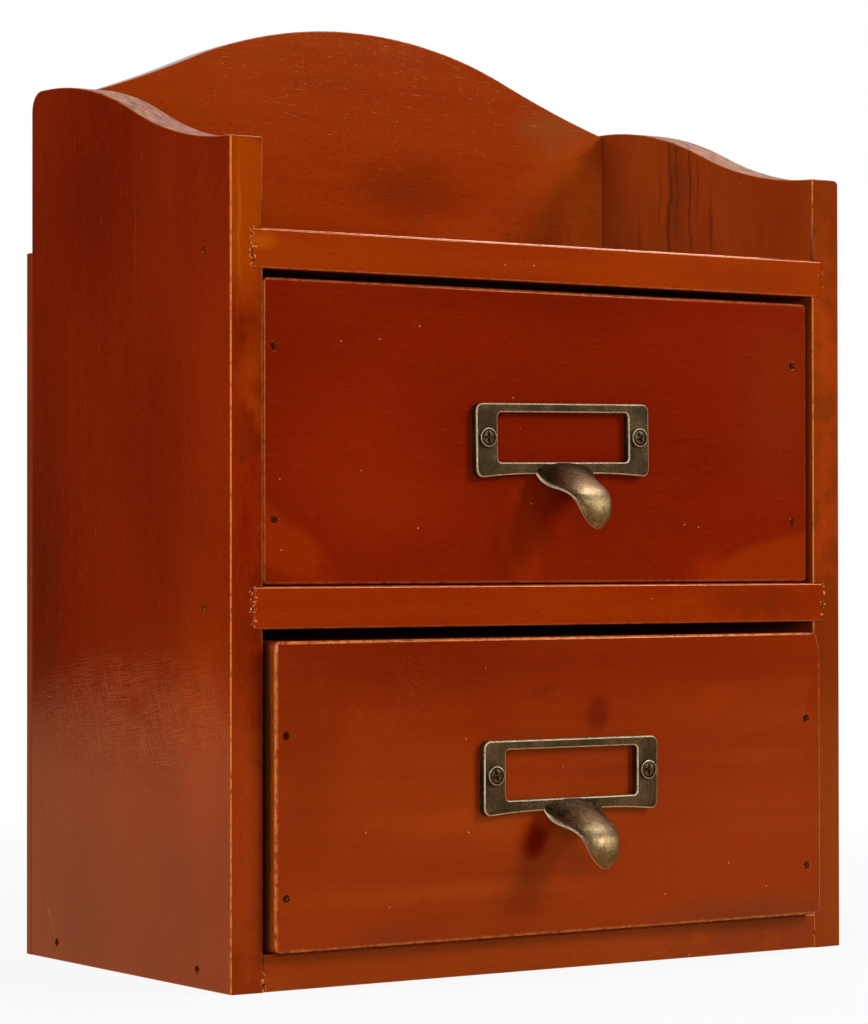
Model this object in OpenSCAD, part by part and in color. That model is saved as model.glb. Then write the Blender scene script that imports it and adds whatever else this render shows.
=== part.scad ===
// Small desktop cabinet with two drawers, of glued and nailed boards.
// The sides rise to the back in an ogee, an arched gallery board closes the open
// top at the back, and each drawer has a cast pull that frames a paper label.
// Origin at the centre of the footprint on the underside: X right, Y back, Z up.

/* [Case] */
// Width over both side boards
case_w = 240; // [200:1:320]
// Depth of the side boards, front edge to rear edge
side_d = 130.5; // [110:0.5:170]
// Thickness of the side boards
side_t = 11.5; // [9:0.5:14]
// Thickness of the board across the bottom
bottom_t = 11.5; // [8:0.5:16]
// Clear height of the lower drawer's opening
lower_opening_h = 98.7; // [80:0.1:130]
// Thickness of the shelf between the drawers
middle_shelf_t = 13.1; // [9:0.1:16]
// Clear height of the upper drawer's opening
upper_opening_h = 96.9; // [80:0.1:130]
// Thickness of the shelf over the drawers
top_shelf_t = 12.3; // [9:0.1:16]
// Depth of the housings in the sides that take the shelves' ends
housing_depth = 3.7; // [2:0.1:4.5]
// Thickness of the plywood back
back_t = 3.7; // [3:0.1:6]
// Height of the plywood back above the top shelf
back_lip = 1.3; // [0:0.1:6]
// Radius of the boards' eased front arrises
arris_r = 0.8; // [0.3:0.1:1.5]

/* [Ogee of the sides] */
// Rise of a side above the top shelf at its front edge
side_rise_front = 27.7; // [15:0.1:40]
// Rise of a side above the top shelf at its crest
side_rise_crest = 54.7; // [45:0.1:70]
// Distance of the crest from the rear edge
side_crest_back = 8; // [7:0.1:20]
// Radius of the hollow towards the front
side_hollow_r = 160; // [120:5:260]
// Slope of the hollow at the front edge, in degrees
side_end_slope = 1.5; // [0:0.1:10]
// Radius of the rear top corner
side_corner_r = 6.5; // [1:0.5:7]

/* [Gallery board] */
// Thickness of the gallery board
gallery_t = 11.5; // [8:0.5:16]
// Rise of the gallery's peak above the top shelf
gallery_rise_peak = 83.4; // [74:0.1:95]
// Rise of the gallery's ends above the top shelf
gallery_rise_end = 53.7; // [45:0.1:62]
// Radius of the hollow of each flank
gallery_hollow_r = 406; // [300:1:500]
// Slope of a flank where it meets the side, in degrees
gallery_end_slope = 17; // [14:0.5:20]

/* [Drawers] */
// Thickness of the drawer fronts
front_t = 11; // [8:0.5:16]
// Gap on each side of a drawer front
front_side_gap = 1.1; // [0.5:0.1:2]
// Running gap under a drawer
slide_gap = 0.4; // [0.3:0.1:1]
// Gap over the upper drawer front
upper_gap = 2.4; // [1:0.1:6]
// Gap over the lower drawer front
lower_gap = 3.5; // [1:0.1:6]
// Distance of a closed front behind the case's front edge
closed_recess = 2; // [0:0.5:6]
// Distance that the lower drawer stands open
lower_open = 7; // [0:0.5:60]
// Gap behind a closed drawer
rear_gap = 0.5; // [0.3:0.1:6]
// Radius of a front's eased arrises
front_arris_r = 1.2; // [0.5:0.1:2.5]
// Radius of a front's corners
front_corner_r = 2.2; // [1:0.1:5]
// Width lost at the lower front's worn top right corner
worn_w = 2.2; // [0.5:0.1:4]
// Height over which that corner is worn
worn_h = 11; // [6:0.5:20]
// Thickness of a drawer box's sides
box_side_t = 10; // [8:0.5:12]
// Distance of a drawer box's sides below the top of its front
box_drop = 5; // [0:0.5:20]
// Thickness of a drawer box's back
box_back_t = 8; // [5:0.5:12]
// Thickness of a drawer's plywood bottom
box_bottom_t = 3; // [2.5:0.1:5]
// Height of the bottom's groove above a drawer's lower edge
groove_rise = 5; // [3:0.5:12]
// Depth of the groove that takes the drawer bottom
groove_depth = 4; // [2:0.1:5]
// Play of the drawer bottom at the foot of its groove
groove_play = 0.5; // [0:0.1:1.5]

/* [Brads and pins] */
// Diameter of a brad's shank
brad_d = 1.4; // [1:0.1:2]
// Length of a brad
brad_l = 26; // [20:1:34]
// Diameter of a brad's head
brad_head_d = 2; // [1.6:0.1:2.4]
// Thickness of a brad's head
brad_head_t = 0.8; // [0.5:0.1:1.2]
// Diameter of the punched hole over a brad
punch_d = 2.6; // [2.5:0.1:4]
// Depth of the punched hole over a brad
punch_depth = 2.2; // [1.6:0.1:3]
// Play between a nail or screw and its hole, across
nail_play = 0.1; // [0.05:0.05:0.3]
// Distance of the shelves' brads from the front edge
shelf_brad_front = 16; // [8:0.5:40]
// Distance of the bottom board's front brads from the front edge
bottom_brad_front = 20.4; // [8:0.1:40]
// Distance of the bottom board's rear brads from the rear edge
bottom_brad_rear = 18; // [8:0.5:40]
// Distance of a drawer front's left brads from its left end
front_brad_left = 4; // [3:0.1:6]
// Distance of a drawer front's right brads from its right end
front_brad_right = 6.4; // [4:0.1:7]
// Height of the upper front's low brads above its lower edge
upper_brad_low = 20; // [12:0.5:35]
// Height of the upper front's high brads above its lower edge
upper_brad_high = 73; // [45:0.5:74]
// Height of the lower front's low brads above its lower edge
lower_brad_low = 16.7; // [12:0.1:35]
// Height of the lower front's high brads above its lower edge
lower_brad_high = 66; // [45:0.5:74]
// Diameter of a back pin's shank
pin_d = 1.2; // [0.8:0.1:1.6]
// Diameter of a back pin's head
pin_head_d = 2.2; // [1.8:0.1:3]
// Thickness of a back pin's head
pin_head_t = 0.6; // [0.4:0.1:1]
// Length of a back pin
pin_l = 15; // [10:1:20]
// Distance of the back's end pins from its corners
pin_margin = 22; // [12:1:40]

/* [Label pulls] */
// Width of a pull's plate
plate_w = 68.5; // [60:0.5:90]
// Height of a pull's plate
plate_h = 23.7; // [22:0.1:30]
// Thickness of a pull's plate
plate_t = 2.8; // [2:0.1:4]
// Radius of the plate's corners
plate_corner_r = 2.6; // [1:0.1:4]
// Width of the label window
window_w = 51.8; // [40:0.1:52]
// Height of the label window
window_h = 15.9; // [12:0.1:16.5]
// Radius of the window's corners
window_corner_r = 1.4; // [0.5:0.1:3]
// Height of the plate's rail over the window
top_rail = 3; // [2.4:0.1:4]
// Rise of the plate's lower edge between its corners and the tab
edge_rise = 1; // [0.3:0.1:1.5]
// Distance between a pull's screws
screw_pitch = 60; // [58:0.5:62]
// Shift of the upper pull to the right of the centre
upper_pull_shift = 4; // [-10:0.5:10]
// Height of the upper pull's plate centre above the front's lower edge
upper_pull_h = 46; // [36:0.5:58]
// Tilt of the upper pull, right end up, in degrees
upper_pull_tilt = 0.9; // [-2:0.1:2]
// Shift of the lower pull to the right of the centre
lower_pull_shift = 2; // [-10:0.5:10]
// Height of the lower pull's plate centre above the front's lower edge
lower_pull_h = 50.5; // [36:0.5:58]
// Tilt of the lower pull, right end up, in degrees
lower_pull_tilt = 0; // [-2:0.1:2]

/* [Finger tab] */
// Reach of the tab's rim out of the plate's face
tab_reach = 17.4; // [14:0.1:22]
// Drop of the tab's rim below the plate's lower edge
tab_drop = 16.8; // [14:0.1:20]
// Width of the tab at its root
tab_root_w = 22.8; // [19:0.1:26]
// Width that the tab is drawn towards at mid length
tab_waist_w = 18.6; // [15:0.1:20]
// Width that the tab is drawn towards at its tip
tab_tip_w = 9.8; // [7:0.1:13]
// Thickness of the tab's metal
tab_t = 1.5; // [1.2:0.1:1.8]

/* [Pull screws] */
// Diameter of a screw's shank
screw_d = 3; // [2.5:0.1:3.5]
// Length of a screw under its head
screw_l = 11; // [8:0.5:11]
// Diameter of a screw's head
screw_head_d = 6.5; // [5:0.1:7]
// Height of a screw's domed head
screw_head_h = 1.3; // [1:0.1:2]
// Play round a screw in the plate's hole, across
screw_play = 0.4; // [0.2:0.1:0.8]
// Length of an arm pair of the cross recess
cross_l = 3.6; // [2.5:0.1:4.5]
// Width of an arm of the cross recess
cross_w = 0.9; // [0.6:0.1:1.2]
// Depth of the cross recess
cross_depth = 0.9; // [0.5:0.1:1]

/* [Hidden] */
$fn = 96;
big_fn = 360;
// Length by which a cut runs past the face that it opens
past = 1;

inner_w = case_w - 2 * side_t;
case_d = side_d + back_t;
front_y = -case_d / 2;
shelf_w = inner_w + 2 * housing_depth;
middle_shelf_z = bottom_t + lower_opening_h;
upper_floor_z = middle_shelf_z + middle_shelf_t;
top_shelf_z = upper_floor_z + upper_opening_h;
tray_z = top_shelf_z + top_shelf_t;
back_h = tray_z + back_lip;

// Brads of one side board, from its front edge and from the floor
side_brads = [
    [shelf_brad_front, top_shelf_z + top_shelf_t / 2],
    [shelf_brad_front, middle_shelf_z + middle_shelf_t / 2],
    [bottom_brad_front, bottom_t / 2],
    [side_d - bottom_brad_rear, bottom_t / 2]
];

// Pins of the back, from its middle and from the floor
side_pin_x = (case_w - side_t) / 2;
board_pin_x = inner_w / 4;
back_pins = [
    for (s = [-1, 1]) each concat(
        [for (z = [pin_margin, back_h / 2, back_h - pin_margin]) [s * side_pin_x, z]],
        [for (z = [bottom_t / 2, middle_shelf_z + middle_shelf_t / 2]) [s * board_pin_x, z]]
    )
];

// Values of the two drawers, upper first
drawer_names = ["upper", "lower"];
drawer_open = [0, lower_open];
drawer_z = [upper_floor_z + slide_gap, bottom_t + slide_gap];
front_h = [
    upper_opening_h - slide_gap - upper_gap,
    lower_opening_h - slide_gap - lower_gap
];
brad_rows = [[upper_brad_low, upper_brad_high], [lower_brad_low, lower_brad_high]];
pull_shift = [upper_pull_shift, lower_pull_shift];
pull_h = [upper_pull_h, lower_pull_h];
pull_tilt = [upper_pull_tilt, lower_pull_tilt];
front_w = inner_w - 2 * front_side_gap;
drawer_d = side_d - closed_recess - rear_gap;
box_inner_w = front_w - 2 * box_side_t;
floor_w = box_inner_w + 2 * groove_depth;

// Radius of the arc that is tangent to the lower front's end where its wear starts
worn_r = (worn_h * worn_h + worn_w * worn_w) / (2 * worn_w);

window_z = plate_h / 2 - top_rail - window_h / 2;
low_rail = plate_h - top_rail - window_h;
// Height of plate that is left over and under the tab's root
root_rim = 0.2;

// The finger tab is lofted between a rim line and a ridge line. Each is a cubic
// curve of [distance out of the plate's face, height over the plate's lower edge].
tab_rim = [
    [0, edge_rise + root_rim],
    [0.29 * tab_reach, -0.46 * tab_drop],
    [0.93 * tab_reach, 0.06 * tab_drop],
    [tab_reach, -tab_drop]
];
tab_ridge = [
    [0, low_rail - root_rim],
    [0.4 * tab_reach, -0.12 * tab_drop],
    [1.22 * tab_reach, -0.16 * tab_drop],
    [tab_reach + 0.8, -tab_drop + 0.7]
];
tab_widths = [tab_root_w, tab_waist_w, tab_tip_w];
// Place along the tab where its round end begins
tip_start = 0.85;
tab_steps = 14;
tip_steps = 6;
arc_steps = 12;

function hand(s) = s < 0 ? "left" : "right";
function side_brad_name(s, i) = str(hand(s), "_side_brad_", i + 1);
function back_pin_name(i) = str("back_pin_", i + 1);
function box_name(k, piece) = str(drawer_names[k], "_drawer_", piece);
function front_brad_name(k, i) = str(drawer_names[k], "_front_brad_", i + 1);
function pull_name(k) = str(drawer_names[k], "_label_pull");
function screw_name(k, s) = str(drawer_names[k], "_pull_screw_", hand(s));

function cubic(p, t) =
    pow(1 - t, 3) * p[0] + 3 * t * pow(1 - t, 2) * p[1]
    + 3 * t * t * (1 - t) * p[2] + pow(t, 3) * p[3];
function quadratic(p, t) = pow(1 - t, 2) * p[0] + 2 * t * (1 - t) * p[1] + t * t * p[2];

// Extrudes a profile drawn in Y and Z along X, to both sides of the middle
module along_x(length) {
    rotate([90, 0, 90])
        linear_extrude(length, center = true) children();
}

// Extrudes a profile drawn in X and Z along Y, from y = 0 to the back
module along_y(length) {
    translate([0, length, 0])
        rotate([90, 0, 0])
            linear_extrude(length) children();
}

module rounded_rect(w, h, r) {
    translate([r, 0]) square([w - 2 * r, h]);
    translate([0, r]) square([w, h - 2 * r]);
    for (x = [r, w - r], y = [r, h - r])
        translate([x, y]) circle(r);
}

// Board section of depth d and thickness t, with both front arrises eased
module eased_section(d, t, r) {
    translate([r, 0]) square([d - r, t]);
    translate([0, r]) square([r, t - 2 * r]);
    for (y = [r, t - r])
        translate([r, y]) circle(r);
}

// Area under an ogee that leaves its crest level at x = 0, turns from crown to
// hollow and is end_h high at x = run, where it goes on for the length over. The
// crown's radius follows from the other sizes.
module under_ogee(run, crest_h, end_h, hollow_r, end_slope, over = 0) {
    hollow = [run + hollow_r * sin(end_slope), end_h + hollow_r * cos(end_slope)];
    lift = hollow[1] - crest_h;
    crown_r = (pow(hollow[0], 2) + pow(lift, 2) - pow(hollow_r, 2)) / (2 * (hollow_r - lift));
    crown = [0, crest_h - crown_r];
    turn = crown + (hollow - crown) * crown_r / (crown_r + hollow_r);
    intersection() {
        square([turn[0], crest_h]);
        union() {
            translate(crown) circle(crown_r, $fn = big_fn);
            square(turn);
        }
    }
    difference() {
        translate([turn[0], 0]) square([run + over - turn[0], crest_h]);
        translate(hollow) circle(hollow_r, $fn = big_fn);
    }
}

// Brad under its punched hole: the face is z = 0 and the brad points along +Z
module brad() {
    head_z = punch_depth - brad_head_t;
    translate([0, 0, head_z]) cylinder(d = brad_head_d, h = brad_head_t);
    translate([0, 0, head_z]) cylinder(d = brad_d, h = brad_l);
}

module brad_cut() {
    translate([0, 0, -past]) cylinder(d = punch_d, h = past + punch_depth);
    cylinder(d = brad_d + nail_play, h = punch_depth - brad_head_t + brad_l + past);
}

// Pin with its head flush: the face is z = 0 and the pin points along +Z
module pin() {
    cylinder(d = pin_head_d, h = pin_head_t);
    cylinder(d = pin_d, h = pin_l);
}

module pin_cut() {
    translate([0, 0, -past]) cylinder(d = pin_head_d + nail_play, h = past + pin_head_t);
    cylinder(d = pin_d + nail_play, h = pin_l + past);
}

module at_side_brad(s, i) {
    translate([s * case_w / 2, front_y + side_brads[i][0], side_brads[i][1]])
        rotate([0, -s * 90, 0]) children();
}

module at_back_pin(i) {
    translate([back_pins[i][0], case_d / 2, back_pins[i][1]])
        rotate([90, 0, 0]) children();
}

module side_brad_cuts() {
    for (s = [-1, 1], i = [0:len(side_brads) - 1])
        at_side_brad(s, i) brad_cut();
}

module back_pin_cuts() {
    for (i = [0:len(back_pins) - 1])
        at_back_pin(i) pin_cut();
}

// Outline of a side board in Y and Z, from its front edge and a little past it
module side_outline() {
    crest_h = tray_z + side_rise_crest;
    crest_y = side_d - side_crest_back;
    translate([crest_y, 0]) {
        mirror([1, 0])
            under_ogee(crest_y, crest_h, tray_z + side_rise_front,
                       side_hollow_r, side_end_slope, past);
        square([side_crest_back, crest_h - side_corner_r]);
        square([side_crest_back - side_corner_r, crest_h]);
        translate([side_crest_back - side_corner_r, crest_h - side_corner_r]) circle(side_corner_r);
    }
}

module side_board(s) {
    difference() {
        translate([s * (case_w - side_t) / 2, front_y, 0])
            intersection() {
                along_x(side_t + 2 * past) side_outline();
                translate([side_t / 2, 0, -past])
                    linear_extrude(tray_z + side_rise_crest + 2 * past)
                        rotate(90) eased_section(side_d + past, side_t, arris_r);
            }
        shelf_block(middle_shelf_z, middle_shelf_t, past);
        shelf_block(top_shelf_z, top_shelf_t, past);
        side_brad_cuts();
        back_pin_cuts();
    }
}

// Room that a shelf takes in the sides' housings, open to the front and rear
module shelf_block(z, t, over) {
    translate([-shelf_w / 2, front_y - over, z])
        cube([shelf_w, side_d + 2 * over, t]);
}

module cross_board(w, z, t) {
    difference() {
        translate([0, front_y, z]) along_x(w) eased_section(side_d, t, arris_r);
        side_brad_cuts();
        back_pin_cuts();
    }
}

module left_side() {
    color("#6b1c0c") side_board(-1);
}

module right_side() {
    color("#6b1c0c") side_board(1);
}

module top_shelf() {
    color("#8a2c10") cross_board(shelf_w, top_shelf_z, top_shelf_t);
}

module middle_shelf() {
    color("#8a2c10") cross_board(shelf_w, middle_shelf_z, middle_shelf_t);
}

module bottom_board() {
    color("#7c2810") cross_board(inner_w, 0, bottom_t);
}

module gallery_board() {
    run = inner_w / 2;
    color("#94390f")
        translate([0, front_y + side_d - gallery_t, tray_z])
            along_y(gallery_t)
                for (s = [0, 1])
                    mirror([s, 0])
                        under_ogee(run, gallery_rise_peak, gallery_rise_end,
                                   gallery_hollow_r, gallery_end_slope);
}

module back_panel() {
    color("#a5743f")
        difference() {
            translate([-case_w / 2, front_y + side_d, 0]) cube([case_w, back_t, back_h]);
            back_pin_cuts();
        }
}

module side_brad(s, i) {
    color("#5b5650") at_side_brad(s, i) brad();
}

module back_pin(i) {
    color("#8c8880") at_back_pin(i) pin();
}

// Frame of drawer k: the middle of its front face's lower edge
module at_drawer(k) {
    translate([0, front_y + closed_recess - drawer_open[k], drawer_z[k]]) children();
}

module at_front_brad(k, i) {
    left_x = -front_w / 2 + front_brad_left;
    right_x = front_w / 2 - front_brad_right;
    translate([i < 2 ? left_x : right_x, 0, brad_rows[k][i % 2]])
        rotate([-90, 0, 0]) children();
}

module front_brad_cuts(k) {
    for (i = [0:3])
        at_front_brad(k, i) brad_cut();
}

// Frame of a pull: its plate's centre on the drawer front, +Z out of the drawer
module at_pull(k) {
    translate([pull_shift[k], 0, pull_h[k]])
        rotate([90, -pull_tilt[k], 0]) children();
}

module at_screw(s) {
    translate([s * screw_pitch / 2, window_z, 0]) children();
}

// Outline of a drawer front in X and Z; the lower one's top right corner is worn
module front_outline(k) {
    difference() {
        translate([-front_w / 2, 0]) rounded_rect(front_w, front_h[k], front_corner_r);
        if (k == 1)
            translate([front_w / 2 - worn_w, front_h[k] - worn_h])
                difference() {
                    square([worn_w + past, worn_h + past]);
                    translate([worn_w - worn_r, 0]) circle(worn_r, $fn = big_fn);
                }
    }
}

module drawer_front(k) {
    color(k == 0 ? "#86200c" : "#8f3410")
        at_drawer(k)
            difference() {
                intersection() {
                    along_y(front_t) front_outline(k);
                    along_x(front_w) eased_section(front_t, front_h[k], front_arris_r);
                    linear_extrude(front_h[k])
                        translate([front_w / 2, 0])
                            rotate(90) eased_section(front_t, front_w, front_arris_r);
                }
                translate([-floor_w / 2, front_t - groove_depth, groove_rise])
                    cube([floor_w, groove_depth + past, box_bottom_t]);
                front_brad_cuts(k);
                at_pull(k)
                    for (s = [-1, 1])
                        at_screw(s)
                            translate([0, 0, plate_t - screw_l - past / 2])
                                cylinder(d = screw_d + nail_play, h = screw_l + past);
            }
}

module box_side(k, s) {
    side_h = front_h[k] - box_drop;
    color("#a8703c")
        at_drawer(k)
            difference() {
                translate([s * (front_w - box_side_t) / 2 - box_side_t / 2, front_t, 0])
                    cube([box_side_t, drawer_d - front_t, side_h]);
                translate([-floor_w / 2, front_t - past, groove_rise])
                    cube([floor_w, drawer_d + past, box_bottom_t]);
                front_brad_cuts(k);
            }
}

module box_back(k) {
    back_z = groove_rise + box_bottom_t;
    color("#a8703c")
        at_drawer(k)
            translate([-box_inner_w / 2, drawer_d - box_back_t, back_z])
                cube([box_inner_w, box_back_t, front_h[k] - box_drop - back_z]);
}

module box_bottom(k) {
    w = floor_w - 2 * groove_play;
    start = front_t - groove_depth + groove_play;
    color("#b98a52")
        at_drawer(k)
            translate([-w / 2, start, groove_rise])
                cube([w, drawer_d - start, box_bottom_t]);
}

module front_brad(k, i) {
    color("#5b5650") at_drawer(k) at_front_brad(k, i) brad();
}

// Plate of a pull in X and Y about its centre, with a lower edge that rises to the tab
module plate_outline() {
    root_x = tab_root_w / 2;
    flare = plate_w / 2 - plate_corner_r - root_x;
    edge_r = (flare * flare + edge_rise * edge_rise) / (2 * edge_rise);
    difference() {
        translate([-plate_w / 2, -plate_h / 2]) rounded_rect(plate_w, plate_h, plate_corner_r);
        translate([-window_w / 2, window_z - window_h / 2])
            rounded_rect(window_w, window_h, window_corner_r);
        for (s = [-1, 1]) {
            translate([s * root_x, edge_rise - plate_h / 2 - edge_r]) circle(edge_r, $fn = big_fn);
            at_screw(s) circle(d = screw_d + screw_play);
        }
    }
}

// Ring of the tab at place t of its lines, with its width times k: the outer arch
// from right to left and the underside back, as [across, up, out] of the plate
function tab_ring(t, k) =
    let (
        rim = cubic(tab_rim, t),
        rise = cubic(tab_ridge, t) - rim,
        metal = min(tab_t, 0.6 * norm(rise)) / norm(rise),
        half_w = k * quadratic(tab_widths, t) / 2,
        under_w = half_w - min(tab_t, 0.3 * half_w),
        point = function(w, high, i)
            let (p = rim + rise * high * sin(180 * i / arc_steps))
            [w * cos(180 * i / arc_steps), p[1] - plate_h / 2, p[0]]
    )
    concat(
        [for (i = [0:arc_steps]) point(half_w, 1, i)],
        [for (i = [arc_steps:-1:0]) point(under_w, 1 - metal, i)]
    );

// Finger tab, lofted from inside the plate to its round tip
module tab() {
    root = [for (p = tab_ring(0, 1)) [p[0], p[1], p[2] + plate_t / 2]];
    rings = concat(
        [root],
        [for (i = [0:tab_steps]) [for (p = tab_ring(tip_start * i / tab_steps, 1)) p + [0, 0, plate_t]]],
        [for (i = [1:tip_steps])
            let (a = 84 * i / tip_steps)
            [for (p = tab_ring(tip_start + (1 - tip_start) * sin(a), cos(a))) p + [0, 0, plate_t]]]
    );
    n = len(root);
    last = len(rings) - 1;
    polyhedron(
        points = [for (ring = rings, p = ring) p],
        faces = concat(
            [[for (i = [0:n - 1]) i], [for (i = [n - 1:-1:0]) last * n + i]],
            [for (j = [0:last - 1], i = [0:n - 1])
                let (a = j * n + i, b = j * n + (i + 1) % n)
                each [[a, a + n, b + n], [a, b + n, b]]]
        )
    );
}

module label_pull(k) {
    color("#7d6c4a")
        at_drawer(k)
            at_pull(k) {
                linear_extrude(plate_t) plate_outline();
                tab();
            }
}

module pull_screw(k, s) {
    cap = 0.7 * screw_head_h;
    dome_r = (pow(screw_head_d / 2, 2) + cap * cap) / (2 * cap);
    color("#3d372e")
        at_drawer(k)
            at_pull(k)
                at_screw(s)
                    translate([0, 0, plate_t]) {
                        translate([0, 0, -screw_l]) cylinder(d = screw_d, h = screw_l);
                        difference() {
                            intersection() {
                                cylinder(d = screw_head_d, h = screw_head_h);
                                translate([0, 0, screw_head_h - dome_r]) sphere(dome_r, $fn = big_fn);
                            }
                            for (a = [0, 90])
                                rotate(a)
                                    translate([-cross_l / 2, -cross_w / 2, screw_head_h - cross_depth])
                                        cube([cross_l, cross_w, cross_depth + past]);
                        }
                    }
}

left_side();
right_side();
top_shelf();
middle_shelf();
bottom_board();
gallery_board();
back_panel();
for (s = [-1, 1], i = [0:len(side_brads) - 1])
    side_brad(s, i);
for (i = [0:len(back_pins) - 1])
    back_pin(i);
for (k = [0, 1]) {
    drawer_front(k);
    box_side(k, -1);
    box_side(k, 1);
    box_back(k);
    box_bottom(k);
    for (i = [0:3])
        front_brad(k, i);
    label_pull(k);
    for (s = [-1, 1])
        pull_screw(k, s);
}
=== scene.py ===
# Small desktop cabinet with two drawers: its looks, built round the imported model.
# Sizes are in metres, and the patterns in millimetres on Object coordinates.

import math

import bmesh
import bpy
from mathutils import Matrix, Vector


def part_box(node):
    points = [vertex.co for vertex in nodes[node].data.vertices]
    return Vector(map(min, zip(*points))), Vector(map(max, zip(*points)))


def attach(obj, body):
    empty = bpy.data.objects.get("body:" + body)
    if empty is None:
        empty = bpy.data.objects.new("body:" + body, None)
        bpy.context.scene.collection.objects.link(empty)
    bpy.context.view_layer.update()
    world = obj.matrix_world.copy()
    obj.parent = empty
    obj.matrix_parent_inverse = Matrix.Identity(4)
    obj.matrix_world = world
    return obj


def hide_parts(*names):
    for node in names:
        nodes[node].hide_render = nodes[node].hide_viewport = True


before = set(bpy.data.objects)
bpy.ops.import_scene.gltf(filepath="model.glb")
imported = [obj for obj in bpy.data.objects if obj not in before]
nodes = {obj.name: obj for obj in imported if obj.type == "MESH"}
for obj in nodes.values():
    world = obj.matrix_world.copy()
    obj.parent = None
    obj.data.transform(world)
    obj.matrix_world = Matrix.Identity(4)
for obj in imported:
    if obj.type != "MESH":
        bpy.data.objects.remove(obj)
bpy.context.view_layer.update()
print("frame loaded,", len(nodes), "nodes")


# Camera, as solved from the photograph's straight edges

shot = {
    "eye": (-0.65426, -0.97502, 0.13215),
    "yaw": 33.8179,  # degrees, from +Y towards +X
    "pitch": 0.7429,
    "roll": -0.0655,
    "lens": 122.39,
}


def placeCamera(look):
    yaw, pitch, roll = (math.radians(look[k]) for k in ("yaw", "pitch", "roll"))
    ahead = Vector((math.sin(yaw) * math.cos(pitch), math.cos(yaw) * math.cos(pitch), math.sin(pitch)))
    level = Vector((math.cos(yaw), -math.sin(yaw), 0))
    upright = level.cross(ahead)
    right = math.cos(roll) * level + math.sin(roll) * upright
    up = right.cross(ahead)
    lens = bpy.data.cameras.new("camera")
    lens.lens = look["lens"]
    lens.sensor_width = 36
    lens.clip_start = 0.05
    lens.clip_end = 60
    camera = bpy.data.objects.new("camera", lens)
    bpy.context.scene.collection.objects.link(camera)
    turned = Matrix((right, up, -ahead)).transposed()
    camera.matrix_world = Matrix.Translation(look["eye"]) @ turned.to_4x4()
    bpy.context.scene.camera = camera


placeCamera(shot)
print("camera placed")


# Small helpers for node trees


def tone(red, green, blue):
    # sRGB numbers from 0 to 255, as linear colour
    def straight(value):
        value = value / 255
        return value / 12.92 if value <= 0.04045 else ((value + 0.055) / 1.055) ** 2.4

    return (straight(red), straight(green), straight(blue), 1.0)


def feed(tree, socket, value):
    if isinstance(value, bpy.types.NodeSocket):
        tree.links.new(value, socket)
    else:
        socket.default_value = value


def addNode(tree, kind, **settings):
    made = tree.nodes.new(kind)
    for name, value in settings.items():
        setattr(made, name, value)
    return made


def addMath(tree, operation, first, second=0.0, clamp=False):
    made = addNode(tree, "ShaderNodeMath", operation=operation, use_clamp=clamp)
    feed(tree, made.inputs[0], first)
    feed(tree, made.inputs[1], second)
    return made.outputs[0]


def addVectorMath(tree, operation, first, second=(0.0, 0.0, 0.0), scale=None):
    made = addNode(tree, "ShaderNodeVectorMath", operation=operation)
    feed(tree, made.inputs[0], first)
    feed(tree, made.inputs[1], second)
    if scale is not None:
        feed(tree, made.inputs["Scale"], scale)
    return made.outputs["Value" if operation in ("DOT_PRODUCT", "LENGTH", "DISTANCE") else "Vector"]


def addRange(tree, value, low, high, toLow=0.0, toHigh=1.0):
    made = addNode(tree, "ShaderNodeMapRange", interpolation_type="SMOOTHSTEP")
    for name, number in (("Value", value), ("From Min", low), ("From Max", high), ("To Min", toLow), ("To Max", toHigh)):
        feed(tree, made.inputs[name], number)
    return made.outputs["Result"]


def addNoise(tree, vector, scale, detail=2.0, roughness=0.5, distortion=0.0):
    made = addNode(tree, "ShaderNodeTexNoise")
    feed(tree, made.inputs["Vector"], vector)
    made.inputs["Scale"].default_value = scale
    made.inputs["Detail"].default_value = detail
    made.inputs["Roughness"].default_value = roughness
    made.inputs["Distortion"].default_value = distortion
    return made


def addMix(tree, factor, first, second, blend="MIX"):
    made = addNode(tree, "ShaderNodeMix", data_type="RGBA", blend_type=blend)
    feed(tree, made.inputs[0], factor)
    feed(tree, made.inputs[6], first)
    feed(tree, made.inputs[7], second)
    return made.outputs[2]


def addMapping(tree, vector, location=(0, 0, 0), rotation=(0, 0, 0), scale=(1, 1, 1), kind="POINT"):
    made = addNode(tree, "ShaderNodeMapping", vector_type=kind)
    feed(tree, made.inputs["Vector"], vector)
    made.inputs["Location"].default_value = location
    made.inputs["Rotation"].default_value = [math.radians(a) for a in rotation]
    made.inputs["Scale"].default_value = scale
    return made.outputs[0]


def addGroup(tree, group, **values):
    made = addNode(tree, "ShaderNodeGroup", node_tree=group)
    for name, value in values.items():
        feed(tree, made.inputs[name], value)
    return made.outputs


def startGroup(name, inputs, outputs):
    group = bpy.data.node_groups.new(name, "ShaderNodeTree")
    for label, kind, value in inputs:
        socket = group.interface.new_socket(name=label, in_out="INPUT", socket_type="NodeSocket" + kind)
        socket.default_value = value
    for label, kind in outputs:
        group.interface.new_socket(name=label, in_out="OUTPUT", socket_type="NodeSocket" + kind)
    return group, group.nodes.new("NodeGroupInput").outputs, group.nodes.new("NodeGroupOutput").inputs


# Shader groups that several finishes share


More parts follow.
